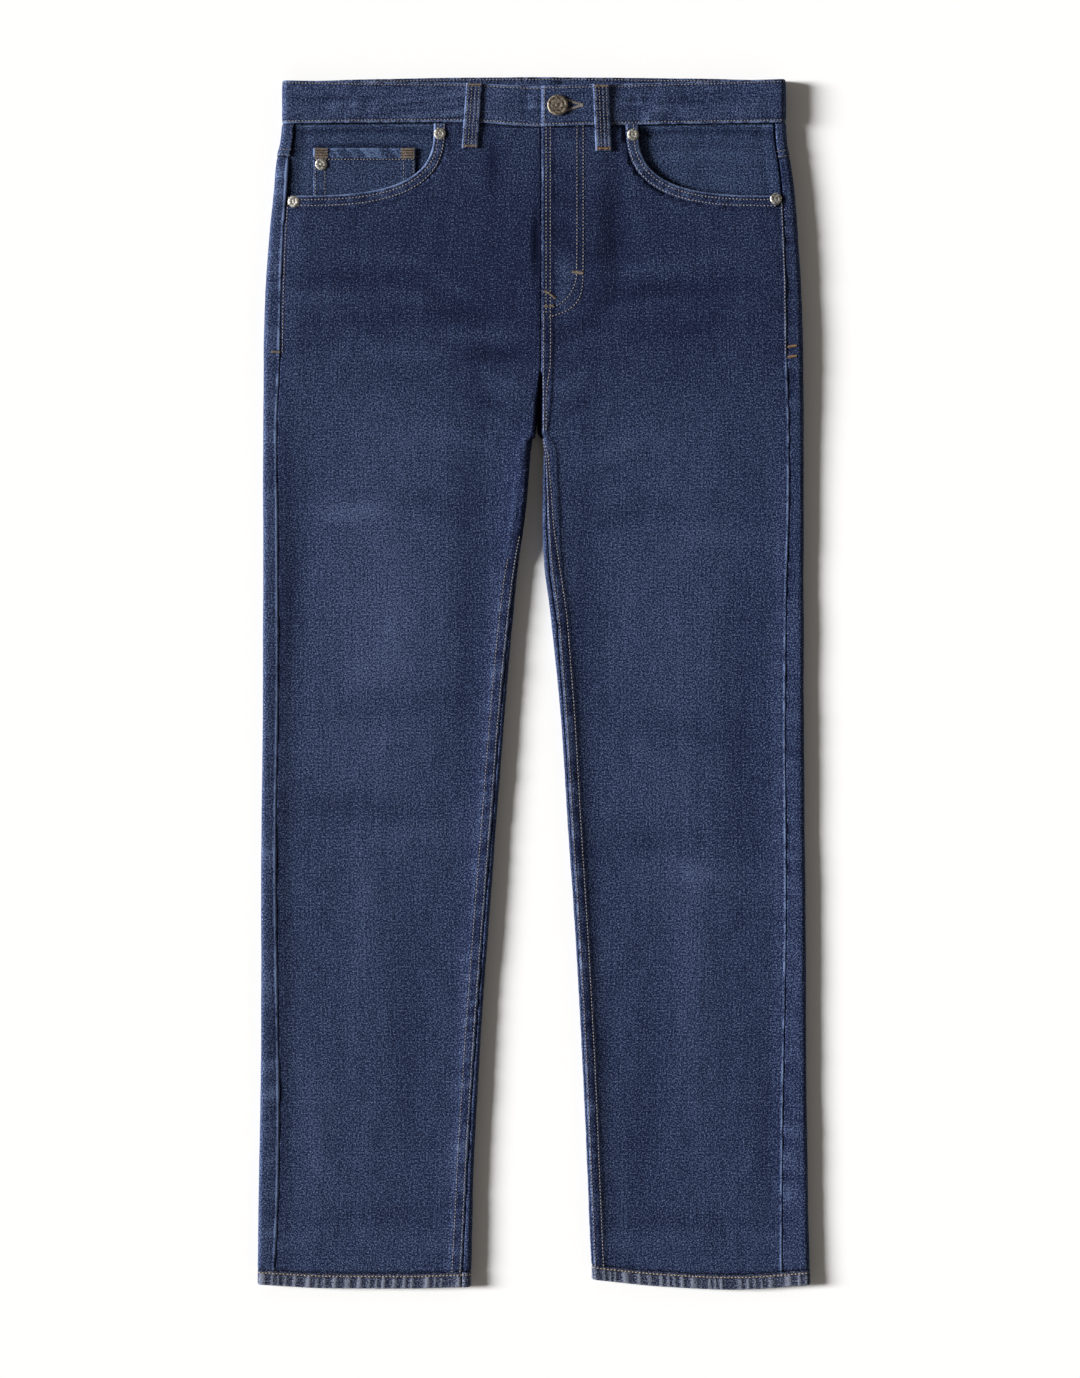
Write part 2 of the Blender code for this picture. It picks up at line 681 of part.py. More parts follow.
def make_yoke(half, columns, yoke_line, denim, home, flip):
    """The yoke follows the back's own outline, from the yoke seam to the waistband seam.

    Its first columns lie on the front, over the side seam's strip, where the front seam ends it.
    """
    lows = []
    highs = []
    for c in range(columns):
        seam = FRONT_SEAM if c < BACK_FOLD_COLUMNS // 2 else BACK_SEAM
        lows.append(settled_y(half, back_place, c, yoke_line, YOKE_SIDE_Y) + SEAM_GAP)
        highs.append(settled_y(half, back_place, c, seam, YOKE_SIDE_Y) - SEAM_GAP)
    rows = []
    for step in range(YOKE_ROWS + 1):
        part = step / YOKE_ROWS
        heights = [low + (high - low) * part for low, high in zip(lows, highs)]
        rows.append(panel_row(half, back_place, heights))
    return grid_object(half + "_yoke", rows, DENIM, denim, home, flip)


def mouth_outline(half):
    """The pocket mouth's curve, from the waistband seam to the side seam."""
    mouth = POCKET_MOUTHS[half]
    width = mouth.inner_x - mouth.side_x
    points = []
    for step in range(MOUTH_STEPS + 1):
        angle = math.radians(90.0 * step / MOUTH_STEPS)
        across = math.cos(angle) ** (2.0 / MOUTH_ROUNDNESS)
        down = math.sin(angle) ** (2.0 / MOUTH_ROUNDNESS)
        points.append((mouth.side_x + width * across, MOUTH_CORNER_Y - mouth.depth * down))
    return points


def cut_pocket_mouth(panel, half, cutters, finish):
    """Cut the corner of a front panel away above its pocket mouth."""
    curve = mouth_outline(half)
    beyond_x = curve[-1][0] - INWARD[half] * 4.0 * CUTTER_PAST
    above_y = curve[0][1] + CUTTER_PAST
    outline = [(curve[0][0], above_y)] + curve + [(beyond_x, curve[-1][1]), (beyond_x, above_y)]
    high = BAND_HEIGHT + CUTTER_PAST
    cut(panel, plate(half + "_mouth_cutter", outline, -CUTTER_PAST, high, finish, cutters))


def facing_height(half, x, y):
    """Top of a pocket facing: low in the pocket, and close under the front at the side seam."""
    in_from_seam = abs(x - OUTER_X[half](y)) - OUTSEAM[half](y)
    drop = FACING_SIDE_DROP + (FACING_DROP - FACING_SIDE_DROP) * ease(in_from_seam, 1.0, FACING_SIDE_REACH)
    return top_height(half, x, y) - drop


def make_facing(half, home, finish):
    mouth = POCKET_MOUTHS[half]
    inner = mouth.inner_x + INWARD[half] * FACING_INNER
    low = MOUTH_CORNER_Y - mouth.depth - FACING_BELOW
    rows = []
    for step in range(FACING_ROWS + 1):
        part = step / FACING_ROWS
        row = []
        for column in FACING_COLUMNS:
            y = low + (FACING_TOP_Y - low) * part
            outer = OUTER_X[half](y) + INWARD[half] * (OUTSEAM[half](y) + SEAM_GAP)
            x = outer + (inner - outer) * column
            y = low + (FRONT_SEAM(x) - SEAM_GAP - low) * part
            row.append((x, y, facing_height(half, x, y)))
        rows.append(row)
    return grid_object(half + "_pocket_facing", rows, HIDDEN_CLOTH, finish, home, half == "left")


def make_coin_pocket(home, finish):
    lift = SEAM_GAP + PATCH_CLOTH
    rows = []
    for step in range(COIN_ROWS + 1):
        y = COIN_BOTTOM_Y + (COIN_TOP_Y - COIN_BOTTOM_Y) * step / COIN_ROWS
        span = COIN_LEFT_X - COIN_RIGHT_X
        xs = [COIN_RIGHT_X + span * column / COIN_COLUMNS for column in range(COIN_COLUMNS + 1)]
        rows.append([(x, y, facing_height("right", x, y) + lift) for x in xs])
    return grid_object("coin_pocket", rows, PATCH_CLOTH, finish, home)


def make_fly(home, finish):
    """The J-shaped facing under the left front, and the shield behind the closed fly."""
    top = FRONT_SEAM(FLY_EDGE_X) - SEAM_GAP
    low = FLY_BOTTOM_Y + 1.0
    rows = []
    for step in range(FLY_ROWS + 1):
        y = low + (top - low) * (step / FLY_ROWS) ** FLY_ROW_CROWDING
        start = FLY_EDGE_X + SEAM_GAP
        xs = [start + (fly_reach(y) - SEAM_GAP) * column / FLY_COLUMNS for column in range(FLY_COLUMNS + 1)]
        rows.append([(x, y, top_height("left", x, y) - DENIM - SEAM_GAP) for x in xs])
    grid_object("fly_facing", rows, HIDDEN_CLOTH, finish, home)
    low = FLY_BOTTOM_Y + SHIELD_SHORTER
    rows = []
    for step in range(FLY_ROWS + 1):
        y = low + (top - low) * step / FLY_ROWS
        row = []
        for column in range(FLY_COLUMNS + 1):
            x = SHIELD_RIGHT_X + (SHIELD_LEFT_X - SHIELD_RIGHT_X) * column / FLY_COLUMNS
            right_front = top_height("right", min(x, 0.0), y)
            left_front = top_height("left", max(x, FLY_EDGE_X), y) - FLY_LIFT
            row.append((x, y, min(right_front, left_front) - DENIM - SEAM_GAP))
        rows.append(row)
    grid_object("fly_shield", rows, HIDDEN_CLOTH, finish, home)


def hem_places(half):
    """Places round a leg's hem: close together at the folds, wide apart across the flats."""
    y = OUTLINE[0].y + HEM_HEIGHT / 2.0
    distances = half_outline(half, y)[1]
    ends = [TOP_START, TOP_END, UNDER_START, UNDER_END, TOP_AGAIN]
    counts = [HEM_FLAT_COLUMNS, HEM_FOLD_COLUMNS, HEM_FLAT_COLUMNS, HEM_FOLD_COLUMNS]
    places = []
    for first, last, count in zip(ends, ends[1:], counts):
        span = distances[last] - distances[first]
        places += [outline_point(half, y, distances[first] + span * i / count) for i in range(count)]
    places.append(places[0])
    return places


def hem_low(half, x):
    """Height of the hem's lower edge."""
    y = OUTLINE[0].y
    outer = OUTER_X[half](y)
    return HEM_EDGE[half]((x - outer) / (inner_fold_x(half, y) - outer))


def make_hem(half, home, denim):
    """A doubled cuff of cloth round the end of the leg."""
    places = hem_places(half)
    rows = [[(x, hem_low(half, x) + HEM_HEIGHT * step / 2, z) for x, z in places] for step in range(3)]
    return grid_object(half + "_hem", rows, HEM_CLOTH, denim, home, half == "right", closed=True)


def band_front_height(x):
    """Outer face of the waistband's front, with its left end lying over its right."""
    return BAND_HEIGHT + BAND_OVER * (1.0 - ease(x, BAND_RISE_START_X, BAND_RISE_START_X + BAND_RISE))


def band_under_height(x):
    """Outer face of the waistband's back, lifted over each back belt loop."""
    lift = 0.0
    for loop_x in BACK_LOOPS.values():
        lift = max(lift, 1.0 - ease(abs(x - loop_x), LOOP_LIFT_REACH, LOOP_LIFT_REACH + LOOP_LIFT_BLEND))
    return PATCH_LIFT * lift


def band_back_xs(right, left):
    """Columns across the band's back: at the rise on either side of each loop, and between."""
    marks = [right]
    for loop_x in sorted(BACK_LOOPS.values()):
        for reach in (LOOP_LIFT_REACH + LOOP_LIFT_BLEND, LOOP_LIFT_REACH):
            marks.append(loop_x - reach)
        for reach in (LOOP_LIFT_REACH, LOOP_LIFT_REACH + LOOP_LIFT_BLEND):
            marks.append(loop_x + reach)
    marks.append(left)
    xs = []
    for start, end in zip(marks, marks[1:]):
        xs += spread(start, end, math.ceil((end - start) / BAND_BACK_STEP))
    return xs + [left]


def band_path():
    """Places round the waistband from its hidden right end to its left end.

    Each is (x, z, part), where part is 0 on the front, 1 on the back and between them on a fold.
    """
    radius = BAND_HEIGHT / 2.0
    right = OUTER_X["right"](BUTTON_Y) + radius
    left = OUTER_X["left"](BUTTON_Y) - radius
    rise_end = BAND_RISE_START_X + BAND_RISE
    turns = [180.0 * step / BAND_FOLD_COLUMNS for step in range(1, BAND_FOLD_COLUMNS)]
    places = [(x, BAND_HEIGHT, 0.0) for x in spread(BAND_UNDER_END_X, right, BAND_FRONT_COLUMNS)]
    places.append((right, BAND_HEIGHT, 0.0))
    arc = fold_arc(right - radius, 1.0, radius, turns)
    places += [(x, z, turn / 180.0) for (x, z), turn in zip(arc, turns)]
    places += [(x, band_under_height(x), 1.0) for x in band_back_xs(right, left)]
    arc = fold_arc(left + radius, -1.0, radius, [180.0 - turn for turn in turns])
    places += [(x, z, 1.0 - turn / 180.0) for (x, z), turn in zip(arc, turns)]
    front = spread(left, rise_end, BAND_FRONT_COLUMNS // 2)
    front += spread(rise_end, FLY_EDGE_X, BAND_FRONT_COLUMNS) + [FLY_EDGE_X]
    places += [(x, band_front_height(x), 0.0) for x in front]
    return places


def make_waistband(home, cutters, denim):
    rows = []
    for step in range(BAND_ROWS + 1):
        part = step / BAND_ROWS
        row = []
        for x, z, behind in band_path():
            low = FRONT_SEAM(x) + (BACK_SEAM(x) - FRONT_SEAM(x)) * behind
            high = FRONT_TOP(x) + (BACK_TOP(x) - FRONT_TOP(x)) * behind
            row.append((x, low + (high - low) * part, z))
        rows.append(row)
    band = grid_object("waistband", rows, BAND_CLOTH, denim, home, True)
    outline = []
    half_angle = math.asin(SLIT_WIDTH / 2.0 / EYE_RADIUS)
    for step in range(EYE_STEPS + 1):
        angle = half_angle + (2.0 * math.pi - 2.0 * half_angle) * step / EYE_STEPS
        x = BUTTON_X + EYE_RADIUS * math.cos(angle)
        outline.append((x, BUTTON_Y + EYE_RADIUS * math.sin(angle)))
    outline.append((BUTTON_X + SLIT_LENGTH, BUTTON_Y - SLIT_WIDTH / 2.0))
    outline.append((BUTTON_X + SLIT_LENGTH, BUTTON_Y + SLIT_WIDTH / 2.0))
    low = BAND_HEIGHT + SEAM_GAP / 2.0
    cut(band, plate("buttonhole_cutter", outline, low, low + CUTTER_PAST, denim, cutters))


def make_front_loops(home, denim):
    """Each loop lies over the waistband and is sewn at both ends, so it follows what is under it."""
    for loop in FRONT_LOOPS:
        rows = []
        for step in range(FRONT_LOOP_ROWS + 1):
            part = step / FRONT_LOOP_ROWS
            y = loop.top_y - loop.length * (1.0 - part)
            row = []
            for side in (-0.5, 0.0, 0.5):
                x = loop.x - loop.slant * (1.0 - part) + side * LOOP_WIDTH
                band = band_front_height(x) if loop.half == "left" else BAND_HEIGHT
                front = top_height(loop.half, x, min(y, FRONT_SEAM(x)))
                bridge = ease(y, FRONT_SEAM(x) - LOOP_BRIDGE, FRONT_SEAM(x) - 1.5)
                height = max(front, front + (band - front) * bridge)
                row.append((x, y, height + LOOP_SEAT + LOOP_CLOTH))
            rows.append(row)
        grid_object(loop.name, rows, LOOP_CLOTH, denim, home)


def make_back_loops(home, denim):
    for name, x in BACK_LOOPS.items():
        low = BACK_LOOP_TOP_Y - BACK_LOOP_LENGTH
        half_width = LOOP_WIDTH / 2.0
        outline = [
            (x - half_width, low),
            (x + half_width, low),
            (x + half_width, BACK_LOOP_TOP_Y),
            (x - half_width, BACK_LOOP_TOP_Y),
        ]
        plate(name, outline, 0.0, PATCH_CLOTH, denim, home)


def make_back_pockets(home, denim):
    for half, side in (("right", -1.0), ("left", 1.0)):
        middle = side * POCKET_CENTRE_X + CENTRE_X(POCKET_TOP_Y)
        half_width = POCKET_WIDTH / 2.0
        outline = [
            (middle - half_width, POCKET_TOP_Y),
            (middle - half_width * POCKET_TAPER, POCKET_TOP_Y - POCKET_SIDE),
            (middle, POCKET_TOP_Y - POCKET_POINT),
            (middle + half_width * POCKET_TAPER, POCKET_TOP_Y - POCKET_SIDE),
            (middle + half_width, POCKET_TOP_Y),
        ]
        plate(half + "_back_pocket", outline, 0.0, PATCH_CLOTH, denim, home)


def make_button(home, brass):
    """The head stands on a shank, which passes through the buttonhole's eye."""
    under = BAND_HEIGHT + SEAM_GAP
    over = BAND_HEIGHT + BAND_OVER + SEAM_GAP + 0.1
    profile = [
        (0.0, over + 2.7),
        (3.0, over + 2.5),
        (5.2, over + 2.1),
        (6.6, over + 2.3),
        (7.8, over + 2.6),
        (8.7, over + 2.3),
        (BUTTON_RADIUS, over + 1.5),
        (8.6, over + 0.5),
        (7.4, over),
        (SHANK_RADIUS, over),
        (SHANK_RADIUS, under),
        (0.0, under),
    ]
    place = (BUTTON_X, BUTTON_Y, 0.0)
    return turned("tack_button", profile, BUTTON_STEPS, place, (0.0, 0.0, 1.0), brass, home)


def make_rivets(home, brass):
    for name, (x, y) in RIVETS.items():
        half = "right" if x < 0.0 else "left"
        drop = FACING_DROP - SEAM_GAP - PATCH_CLOTH if name == "rivet_coin" else 0.0
        across = top_height(half, x + SLOPE_REACH, y) - top_height(half, x - SLOPE_REACH, y)
        along = top_height(half, x, y + SLOPE_REACH) - top_height(half, x, y - SLOPE_REACH)
        normal = (-across, -along, 2.0 * SLOPE_REACH)
        low = RIVET_SEAT
        profile = [
            (0.0, low + 1.3),
            (3.2, low + 1.15),
            (4.8, low + 0.75),
            (RIVET_RADIUS, low + 0.3),
            (RIVET_RADIUS - 0.3, low),
            (0.0, low),
        ]
        place = (x, y, top_height(half, x, y) - drop)
        turned(name, profile, RIVET_STEPS, place, normal, brass, home)


def main():
    for old in list(bpy.data.objects):
        bpy.data.objects.remove(old)
    home = bpy.data.collections.new("straight_leg_jeans")
    cutters = bpy.data.collections.new("cutters")
    bpy.context.scene.collection.children.link(home)
    bpy.context.scene.collection.children.link(cutters)
    denim = material("denim", (0.032, 0.047, 0.1), 0.9)
    worn_denim = material("worn_denim", (0.045, 0.06, 0.12), 0.9)
    brass = material("old_brass", (0.18, 0.13, 0.07), 0.45, 1.0)

    panels = make_panels(home, denim)
    for half in ("right", "left"):
        cut_pocket_mouth(panels[half + "_front"], half, cutters, denim)
        make_facing(half, home, worn_denim)
        make_hem(half, home, denim)
    make_coin_pocket(home, worn_denim)
    make_fly(home, denim)
    make_waistband(home, cutters, worn_denim)
    make_front_loops(home, worn_denim)
    make_back_loops(home, worn_denim)
    make_back_pockets(home, denim)
    make_button(home, brass)
    make_rivets(home, brass)


main()
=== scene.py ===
import math

import bpy
import numpy as np
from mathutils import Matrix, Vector


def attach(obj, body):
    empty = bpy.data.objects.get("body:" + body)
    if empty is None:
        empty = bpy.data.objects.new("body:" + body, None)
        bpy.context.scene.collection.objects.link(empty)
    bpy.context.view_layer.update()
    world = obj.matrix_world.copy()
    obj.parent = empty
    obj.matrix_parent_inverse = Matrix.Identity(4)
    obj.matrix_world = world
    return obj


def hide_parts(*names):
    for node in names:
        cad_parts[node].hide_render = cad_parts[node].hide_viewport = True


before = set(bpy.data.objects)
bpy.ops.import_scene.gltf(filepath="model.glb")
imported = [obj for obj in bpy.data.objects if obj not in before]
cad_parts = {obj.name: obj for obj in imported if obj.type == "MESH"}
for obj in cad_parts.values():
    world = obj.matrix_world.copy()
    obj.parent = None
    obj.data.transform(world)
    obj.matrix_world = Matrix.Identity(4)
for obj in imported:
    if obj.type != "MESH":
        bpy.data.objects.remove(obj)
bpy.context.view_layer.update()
mm = 0.001
print("frame loaded:", len(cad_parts), "nodes")


# small helpers for shapes; every length here is in millimetres
def curveThrough(xs, ys):
    xs, ys = np.array(xs, float), np.array(ys, float)
    slope = np.diff(ys) / np.diff(xs)
    tangent = np.zeros(len(xs))
    tangent[0], tangent[-1] = slope[0], slope[-1]
    both = slope[:-1] * slope[1:] > 0.0
    tangent[1:-1][both] = 2.0 * (slope[:-1] * slope[1:])[both] / (slope[:-1] + slope[1:])[both]

    def value(x):
        x = np.clip(x, xs[0], xs[-1])
        i = np.clip(np.searchsorted(xs, x, "right") - 1, 0, len(slope) - 1)
        step = xs[i + 1] - xs[i]
        t = (x - xs[i]) / step
        start = (1.0 + 2.0 * t) * (1.0 - t) ** 2 * ys[i] + t * (1.0 - t) ** 2 * step * tangent[i]
        end = t * t * (3.0 - 2.0 * t) * ys[i + 1] + t * t * (t - 1.0) * step * tangent[i + 1]
        return start + end

    return value


def ease(value, start, end):
    t = np.clip((value - start) / (end - start), 0.0, 1.0)
    return t * t * (3.0 - 2.0 * t)


def fall(value, start, end):
    return 1.0 - ease(value, start, end)


def bell(distance, width):
    return np.exp(-((distance / width) ** 2))


def plateau(value, start, end, soft):
    return ease(value, start - soft, start) * fall(value, end, end + soft)


def trail(distance, reach):
    return np.exp(-np.clip(distance, 0.0, None) / reach)


def indexAt(value, table):
    return np.interp(value, table, np.arange(len(table)))


def linked(name, data):
    made = bpy.data.objects.new(name, data)
    bpy.context.scene.collection.objects.link(made)
    return made


def gridOf(x, y, z, **more):
    return {"points": np.stack([x, y, z], -1), "u": x, "v": y, **more}


# cloth drawn down beside each row of stitching
def sunkRows(distance, rows, width):
    return sum(bell(distance - row, width) for row in rows)


# a smooth random wave along a seam: crests are about this far apart, and uneven
def waviness(place, spacing, seed):
    draw = np.random.default_rng(seed)
    knots = draw.uniform(-1.0, 1.0, 4096)
    at = np.asarray(place) / (spacing * 0.5) + 2000.0
    i = np.floor(at).astype(int)
    t = at - i
    a, b, c, d = (knots[(i + k) % 4096] for k in (-1, 0, 1, 2))
    return b + 0.5 * t * (c - a + t * (2 * a - 5 * b + 4 * c - d + t * (3 * (b - c) + d - a)))


# the same over a surface
def mottle(x, y, spacing, seed):
    draw = np.random.default_rng(seed)
    knots = draw.uniform(-1.0, 1.0, (256, 256))
    u, v = np.asarray(x) / spacing + 128.0, np.asarray(y) / spacing + 128.0
    i, j = np.floor(u).astype(int), np.floor(v).astype(int)
    s, t = u - i, v - j
    s, t = s * s * (3 - 2 * s), t * t * (3 - 2 * t)
    i, j = i % 255, j % 255
    low = knots[i, j] * (1 - s) + knots[i + 1, j] * s
    high = knots[i, j + 1] * (1 - s) + knots[i + 1, j + 1] * s
    return low * (1 - t) + high * t


# the laid garment: outline, thickness and seams, right being the wearer's right
outline = {
    "y": [-532, -446, -340, -234, -128, -23, 56, 108, 144, 170, 204, 289, 341, 394, 433.5, 460.5, 475, 492, 532],
    "rightOuter": [-243.4, -242.4, -240.6, -240.2, -240.0, -238.8, -238.5, -238.5, -238.5, -238.5, -238.5,
                   -237.9, -236.4, -233.0, -229.0, -226.6, -223.4, -221.8, -220.9],
    "leftOuter": [243.2, 241.2, 239.8, 239.4, 238.4, 237.6, 237.6, 237.6, 237.6, 237.6, 237.6,
                  237.0, 235.7, 232.2, 229.2, 225.6, 223.0, 222.0, 221.0],
    "rightInner": [-55.4, -53.7, -48.4, -41.4, -33.4, -25.4, -18.5, -13.2, -8.4, -6.4, -4.6],
    "leftInner": [51.2, 47.6, 43.0, 37.0, 29.9, 22.9, 15.0, 8.6, 7.4, 7.6, 8.4],
}
thickness = {
    "y": [-534, -512, -470, -340, -100, 60, 150, 218.5, 255, 300, 420, 500],
    "fold": [6.8, 6.6, 6.4, 6.4, 6.4, 6.5, 6.8, 7.4, 8.0, 8.4, 8.4, 8.4],
    "middle": [6.0, 5.6, 4.8, 4.3, 4.4, 4.9, 5.8, 7.2, 8.6, 9.6, 10.1, 10.2],
}
seams = {
    "y": [-534, -440, -150, 0, 60, 100, 145, 196, 218.5, 290, 440, 500],
    "rightOut": [15.0, 18.0, 13.6, 14.2, 14.0, 13.8, 13.6, 13.0, 12.8, 15.2, 12.0, 10.4],
    "rightIn": [10.0, 7.0, 5.4, 5.0, 4.4, 3.4, 2.4, 1.0, 0.0, 0.0, 0.0, 0.0],
    "leftIn": [3.4, 3.2, 4.1, 5.3, 6.8, 6.8, 6.2, 3.6, 0.0, 0.0, 0.0, 0.0],
    "leftOut": [24.5, 22.0, 16.2, 15.8, 15.2, 14.4, 13.0, 12.6, 12.6, 14.2, 10.6, 9.8],
}
crease = {
    "y": [204, 212, 216.5, 218.5, 222, 229, 241, 262, 290, 340, 534],
    "past": [-6.5, -5.6, -3.2, 0.0, 1.6, 4.0, 9.0, 20.0, 40.0, 80.0, 80.0],
}
centre = {"y": [204, 218.5, 245, 275, 300, 534], "x": [2.0, 2.2, 4.6, 6.2, 6.5, 6.5]}
band = {
    "x": [-221, -150, -60, 6, 60, 150, 221],
    "frontTop": [529.6, 528.4, 527.2, 524.6, 526.0, 528.6, 530.8],
    "frontSeam": [491.4, 492.2, 492.6, 488.6, 489.8, 491.4, 492.4],
    "backTop": [529.8, 531.6, 533.4, 533.6, 533.4, 532.2, 530.8],
    "backSeam": [491.6, 493.0, 495.0, 495.4, 495.0, 493.4, 492.6],
}
hemEdges = {
    "across": [0.0, 0.35, 0.7, 1.0],
    "right": [-529.0, -532.4, -532.6, -531.0],
    "left": [-529.4, -533.6, -530.6, -524.6],
}
cloth = {"denim": 1.2, "band": 2.2, "hem": 2.6, "hidden": 0.9, "patch": 1.0, "loop": 1.4, "gap": 0.3}
fly = {"edgeX": 6.5, "bottomY": 322.0, "curve": 40.0, "width": 38.0, "clear": 10.0, "blend": 24.0, "lift": 1.2,
       "from": (312.0, 330.0)}
patchLift = cloth["patch"] + cloth["gap"]
hemHeight = 13.5
legBelow = (212.0, 222.0)
edgeReach, creaseReach = 28.0, 22.0
seatLift = {"outerX": 200.0, "bottomY": 238.0, "blend": 24.0}

# soft troughs (minus) and ridges (plus): x, y, angle, length, width, height
frontFolds = [
    (-156, 355, -2, 62, 11, -0.9), (-58, 326, -31, 28, 10, -0.8), (-42, 305, -10, 44, 10, 0.7),
    (-30, 288, -12, 28, 9, -0.8), (104, 362, 18, 38, 10, 0.7), (126, 344, 15, 40, 10, -0.7),
    (72, 400, 90, 34, 11, -0.6), (-60, 20, 86, 200, 16, -0.6), (-205, 90, 90, 110, 15, -0.5),
    (180, -18, 91, 180, 17, -0.6), (-140, -60, 8, 60, 26, 0.6), (120, -90, -6, 60, 26, 0.6),
]
fineFolds = [
    (-35, 455, 88, 24, 5, -0.5), (-120, 372, -6, 40, 6, 0.35), (-185, 340, 4, 30, 6, 0.4),
    (-100, 338, -14, 34, 6, 0.35), (-70, 350, -28, 26, 5, 0.4), (-150, 318, 3, 46, 7, -0.35),
    (-110, 290, -5, 50, 8, 0.35), (-190, 300, 6, 28, 7, -0.3), (58, 376, 24, 22, 6, -0.4),
    (150, 372, 8, 34, 6, 0.35), (180, 352, -4, 26, 6, -0.35), (90, 330, 12, 40, 7, 0.35),
    (140, 312, 6, 44, 8, -0.3), (52, 300, 20, 26, 6, 0.35), (-22, 262, -20, 16, 6, 0.5),
    (30, 262, 22, 18, 6, 0.45), (-34, 244, -35, 18, 6, -0.5), (36, 240, 38, 18, 6, -0.45),
    (-60, 214, -20, 34, 8, 0.35), (70, 205, 22, 34, 8, 0.35), (-90, 160, -8, 46, 12, -0.3),
    (100, 150, 10, 46, 12, -0.3), (-170, 150, 4, 44, 11, 0.3), (175, 130, -5, 40, 11, 0.3),
    (-120, -20, 5, 60, 14, -0.35), (-150, -110, -6, 56, 13, -0.4), (-90, -130, 9, 44, 12, 0.35),
    (130, -40, -7, 60, 14, -0.35), (105, -140, 6, 56, 13, -0.35), (165, -170, -8, 44, 12, 0.35),
    (-150, -220, 88, 90, 14, 0.35), (-110, -330, 91, 110, 15, -0.35), (140, -260, 92, 110, 14, 0.35),
    (100, -390, 88, 90, 15, -0.35), (-190, -400, 90, 80, 12, 0.3), (205, -380, 90, 90, 11, -0.3),
    (-130, -468, 3, 60, 9, -0.35), (140, -474, -4, 60, 9, -0.35), (-90, -492, -5, 40, 7, 0.3),
    (100, -490, 6, 44, 7, 0.3), (-205, -490, 12, 22, 6, 0.3), (205, -488, -14, 22, 6, 0.3),
]

halves = ("right", "left")
inward = {"right": 1.0, "left": -1.0}
outerX = {half: curveThrough(outline["y"], outline[half + "Outer"]) for half in halves}
innerX = {half: curveThrough(outline["y"][:11], outline[half + "Inner"]) for half in halves}
outseamIn = {half: curveThrough(seams["y"], seams[half + "Out"]) for half in halves}
inseamIn = {half: curveThrough(seams["y"], seams[half + "In"]) for half in halves}
foldHeight = curveThrough(thickness["y"], thickness["fold"])
middleHeight = curveThrough(thickness["y"], thickness["middle"])
creasePast = curveThrough(crease["y"], crease["past"])
centreX = curveThrough(centre["y"], centre["x"])
frontTop, frontSeam, backTop, backSeam = (
    curveThrough(band["x"], band[key]) for key in ("frontTop", "frontSeam", "backTop", "backSeam")
)
hemEdge = {half: curveThrough(hemEdges["across"], hemEdges[half]) for half in halves}


def innerFoldX(half, y):
    return np.where(y <= crease["y"][0], innerX[half](y), centreX(y) + inward[half] * creasePast(y))


def foldOffset(x, y, folds):
    total = 0.0
    for foldX, foldY, angle, length, width, height in folds:
        turn = math.radians(angle)
        along = (x - foldX) * math.cos(turn) + (y - foldY) * math.sin(turn)
        across = (y - foldY) * math.cos(turn) - (x - foldX) * math.sin(turn)
        total += height * np.exp(-((along / length) ** 2) - (across / width) ** 2)
    return total


def flyReach(y):
    below = np.clip((fly["bottomY"] + fly["curve"] - y) / fly["curve"], 0.0, 1.0)
    return fly["width"] * np.sqrt(1.0 - below * below)


def flyRaise(x, y):
    clear = flyReach(y + fly["clear"]) + fly["clear"]
    across = fall(x - fly["edgeX"], clear, clear + fly["blend"])
    bottom = fly["bottomY"] - fly["clear"]
    return fly["lift"] * across * ease(y, bottom - fly["blend"], bottom)


# height of the front's outer face
def topHeight(half, x, y):
    outer = np.abs(x - outerX[half](y))
    inner = (innerFoldX(half, y) - x) * inward[half]
    radius = foldHeight(y) / 2.0
    reach = ease(outer, radius, radius + edgeReach) * ease(inner, radius, radius + creaseReach)
    folds = foldOffset(x, y, frontFolds) + foldOffset(x, y, fineFolds)
    height = foldHeight(y) + (middleHeight(y) - foldHeight(y) + folds) * reach
    if half == "left":
        height = height + flyRaise(x, y) * ease(inner, radius, radius + 8.0)
    return height


# the back's outer face lies on the surface, and is lifted over the pockets and loops
def underHeight(half, x, y):
    inner = (innerFoldX(half, y) - x) * inward[half]
    radius = foldHeight(y) / 2.0
    across = ease(inner, radius, radius + creaseReach)
    across = across * fall(np.abs(x), seatLift["outerX"], seatLift["outerX"] + seatLift["blend"])
    return patchLift * across * ease(y, seatLift["bottomY"] - seatLift["blend"], seatLift["bottomY"])


tableY = np.arange(-540.0, 541.0, 1.0)
distanceStep = 0.5


